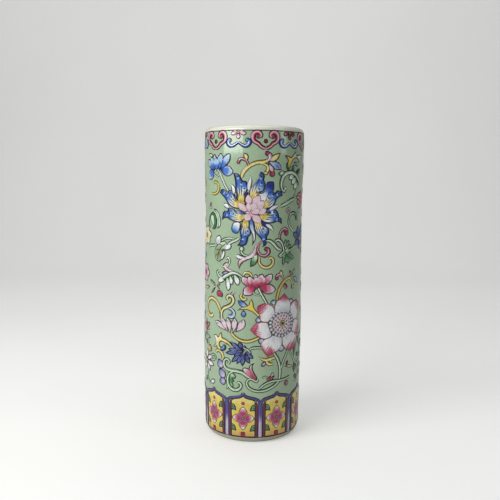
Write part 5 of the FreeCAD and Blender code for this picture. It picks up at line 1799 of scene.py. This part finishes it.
def soft_light(name, place, aim, width, height, power):
    """A soft box that points at a place."""
    lamp = bpy.data.lights.new(name, "AREA")
    lamp.shape = "RECTANGLE"
    lamp.size, lamp.size_y = width, height
    lamp.energy = power
    item = bpy.data.objects.new(name, lamp)
    item.location = place
    item.rotation_euler = (Vector(aim) - Vector(place)).to_track_quat("-Z", "Y").to_euler()
    bpy.context.scene.collection.objects.link(item)


# The floor in metres: its front edge, where it curves up, the curve's radius, the
# backdrop's top and half the width
FLOOR_FRONT = -1.6
FLOOR_BEND = 0.9
BEND_RADIUS = 0.5
BACKDROP_TOP = 2.2
FLOOR_HALF = 2.5


def stage():
    """A pale floor that curves up into a backdrop, and soft studio light."""
    profile = [(FLOOR_FRONT, 0.0), (FLOOR_BEND, 0.0)]
    for turn in np.linspace(0.15, math.pi / 2, 12):
        rise = BEND_RADIUS - BEND_RADIUS * math.cos(turn)
        profile.append((FLOOR_BEND + BEND_RADIUS * math.sin(turn), rise))
    profile.append((FLOOR_BEND + BEND_RADIUS, BACKDROP_TOP))
    points = [(x, y, z) for y, z in profile for x in (-FLOOR_HALF, FLOOR_HALF)]
    faces = [(2 * i, 2 * i + 1, 2 * i + 3, 2 * i + 2) for i in range(len(profile) - 1)]
    mesh = bpy.data.meshes.new("floor_and_backdrop")
    mesh.from_pydata(points, [], faces)
    mesh.polygons.foreach_set("use_smooth", [True] * len(faces))
    nodes = Nodes("pale_paper")
    tone = nodes.ranged(nodes.noise(3.0, 2.0), 0.0, 1.0)
    colour = nodes.mixed(tone, linear((226, 226, 222)), linear((232, 232, 229)))
    nodes.link(colour, nodes.surface.inputs["Base Color"])
    nodes.gloss(0.9)
    path = nodes.add("ShaderNodeLightPath")
    lift = nodes.ranged(path.outputs["Is Camera Ray"], 0.0, 0.3, 0.0, 1.0)
    nodes.link(lift, nodes.surface.inputs["Emission Strength"])
    nodes.surface.inputs["Emission Color"].default_value = (1.0, 1.0, 0.98, 1.0)
    mesh.materials.append(nodes.material)
    floor = bpy.data.objects.new("floor_and_backdrop", mesh)
    bpy.context.scene.collection.objects.link(floor)
    soft_light("key_softbox", (-0.62, -0.55, 0.6), (0, 0, 0.6), 0.7, 0.63, 7.6)
    soft_light("window_softbox", (0.76, -0.3, 0.6), (0, 0, 0.6), 0.2, 0.63, 0.7)
    soft_light("fill_softbox", (1.0, -1.2, 0.7), (0, 0, 0.14), 1.2, 1.2, 0.5)
    soft_light("top_softbox", (0.0, 0.2, 1.5), (0, 0, 0.1), 1.4, 1.4, 7.4)
    world = bpy.data.worlds.new("studio")
    world.use_nodes = True
    world.node_tree.nodes["Background"].inputs["Color"].default_value = (0.92, 0.95, 1.0, 1.0)
    world.node_tree.nodes["Background"].inputs["Strength"].default_value = 0.13
    bpy.context.scene.world = world
    bpy.context.scene.view_settings.view_transform = "Standard"


def cad_finishes():
    """Materials for the turned pieces that show as they are."""
    for node, material in [
        ("body_wall", clay_material()),
        ("base_slab", clay_material()),
        ("foot_ring", clay_material()),
        ("inner_glaze", pale_glaze_material("lip")),
        ("base_glaze", pale_glaze_material("foot")),
    ]:
        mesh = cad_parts[node].data
        mesh.materials.clear()
        mesh.materials.append(material)


def dark_lines():
    """The dark lines under the lip and over the foot."""
    ring_line("rim_dark_line", RIM_LINE, LIP_SPRING, "dark_line", ["rim_line"])
    ring_line("foot_dark_line", FOOT_BAND[1], FOOT_LINE_TOP, "dark_line", ["foot_line"])


class VASE_OT_ceramic_finishes(bpy.types.Operator):
    """Gives the turned ceramic its bare and glazed finishes"""

    bl_idname = "vase.ceramic_finishes"
    bl_label = "Ceramic finishes"

    def execute(self, context):
        cad_finishes()
        return {"FINISHED"}


class VASE_OT_glaze_coats(bpy.types.Operator):
    """Turns the glaze coats of the side, the lip and the foot"""

    bl_idname = "vase.glaze_coats"
    bl_label = "Glaze coats"

    def execute(self, context):
        turned_coats()
        return {"FINISHED"}


class VASE_OT_dark_lines(bpy.types.Operator):
    """Draws the dark lines under the lip and over the foot"""

    bl_idname = "vase.dark_lines"
    bl_label = "Dark lines"

    def execute(self, context):
        dark_lines()
        return {"FINISHED"}


class VASE_OT_cloud_border(bpy.types.Operator):
    """Lays the cloud heads, curls and blossoms under the lip"""

    bl_idname = "vase.cloud_border"
    bl_label = "Cloud border"

    def execute(self, context):
        ruyi_border()
        return {"FINISHED"}


class VASE_OT_lappet_border(bpy.types.Operator):
    """Lays the petal panels round the foot"""

    bl_idname = "vase.lappet_border"
    bl_label = "Lappet border"

    def execute(self, context):
        lappet_border()
        return {"FINISHED"}


class VASE_OT_flower_scroll(bpy.types.Operator):
    """Lays the flowers, stems and leaves over the side"""

    bl_idname = "vase.flower_scroll"
    bl_label = "Flower scroll"

    def execute(self, context):
        flower_scroll()
        return {"FINISHED"}


class VASE_OT_stage(bpy.types.Operator):
    """Makes the floor, the soft light and the camera"""

    bl_idname = "vase.stage"
    bl_label = "Stage"

    def execute(self, context):
        stage()
        camera()
        return {"FINISHED"}


OPERATORS = [
    VASE_OT_ceramic_finishes,
    VASE_OT_glaze_coats,
    VASE_OT_dark_lines,
    VASE_OT_cloud_border,
    VASE_OT_lappet_border,
    VASE_OT_flower_scroll,
    VASE_OT_stage,
]


class VASE_PT_sidebar(bpy.types.Panel):
    """Lists the steps that dress the vase."""

    bl_idname = "VASE_PT_sidebar"
    bl_label = "Vase"
    bl_space_type = "VIEW_3D"
    bl_region_type = "UI"
    bl_category = "Vase"

    def draw(self, context):
        for maker in OPERATORS:
            self.layout.operator(maker.bl_idname)


CLASSES = [VaseColours, VaseSizes, *OPERATORS, VASE_PT_sidebar]


def register():
    for made in CLASSES:
        bpy.utils.register_class(made)
    bpy.types.Scene.vase_colours = bpy.props.PointerProperty(type=VaseColours)
    bpy.types.Scene.vase_sizes = bpy.props.PointerProperty(type=VaseSizes)


def unregister():
    del bpy.types.Scene.vase_sizes
    del bpy.types.Scene.vase_colours
    for made in reversed(CLASSES):
        bpy.utils.unregister_class(made)


def main():
    register()
    for maker in OPERATORS:
        group, name = maker.bl_idname.split(".")
        getattr(getattr(bpy.ops, group), name)()


if __name__ == "__main__":
    main()
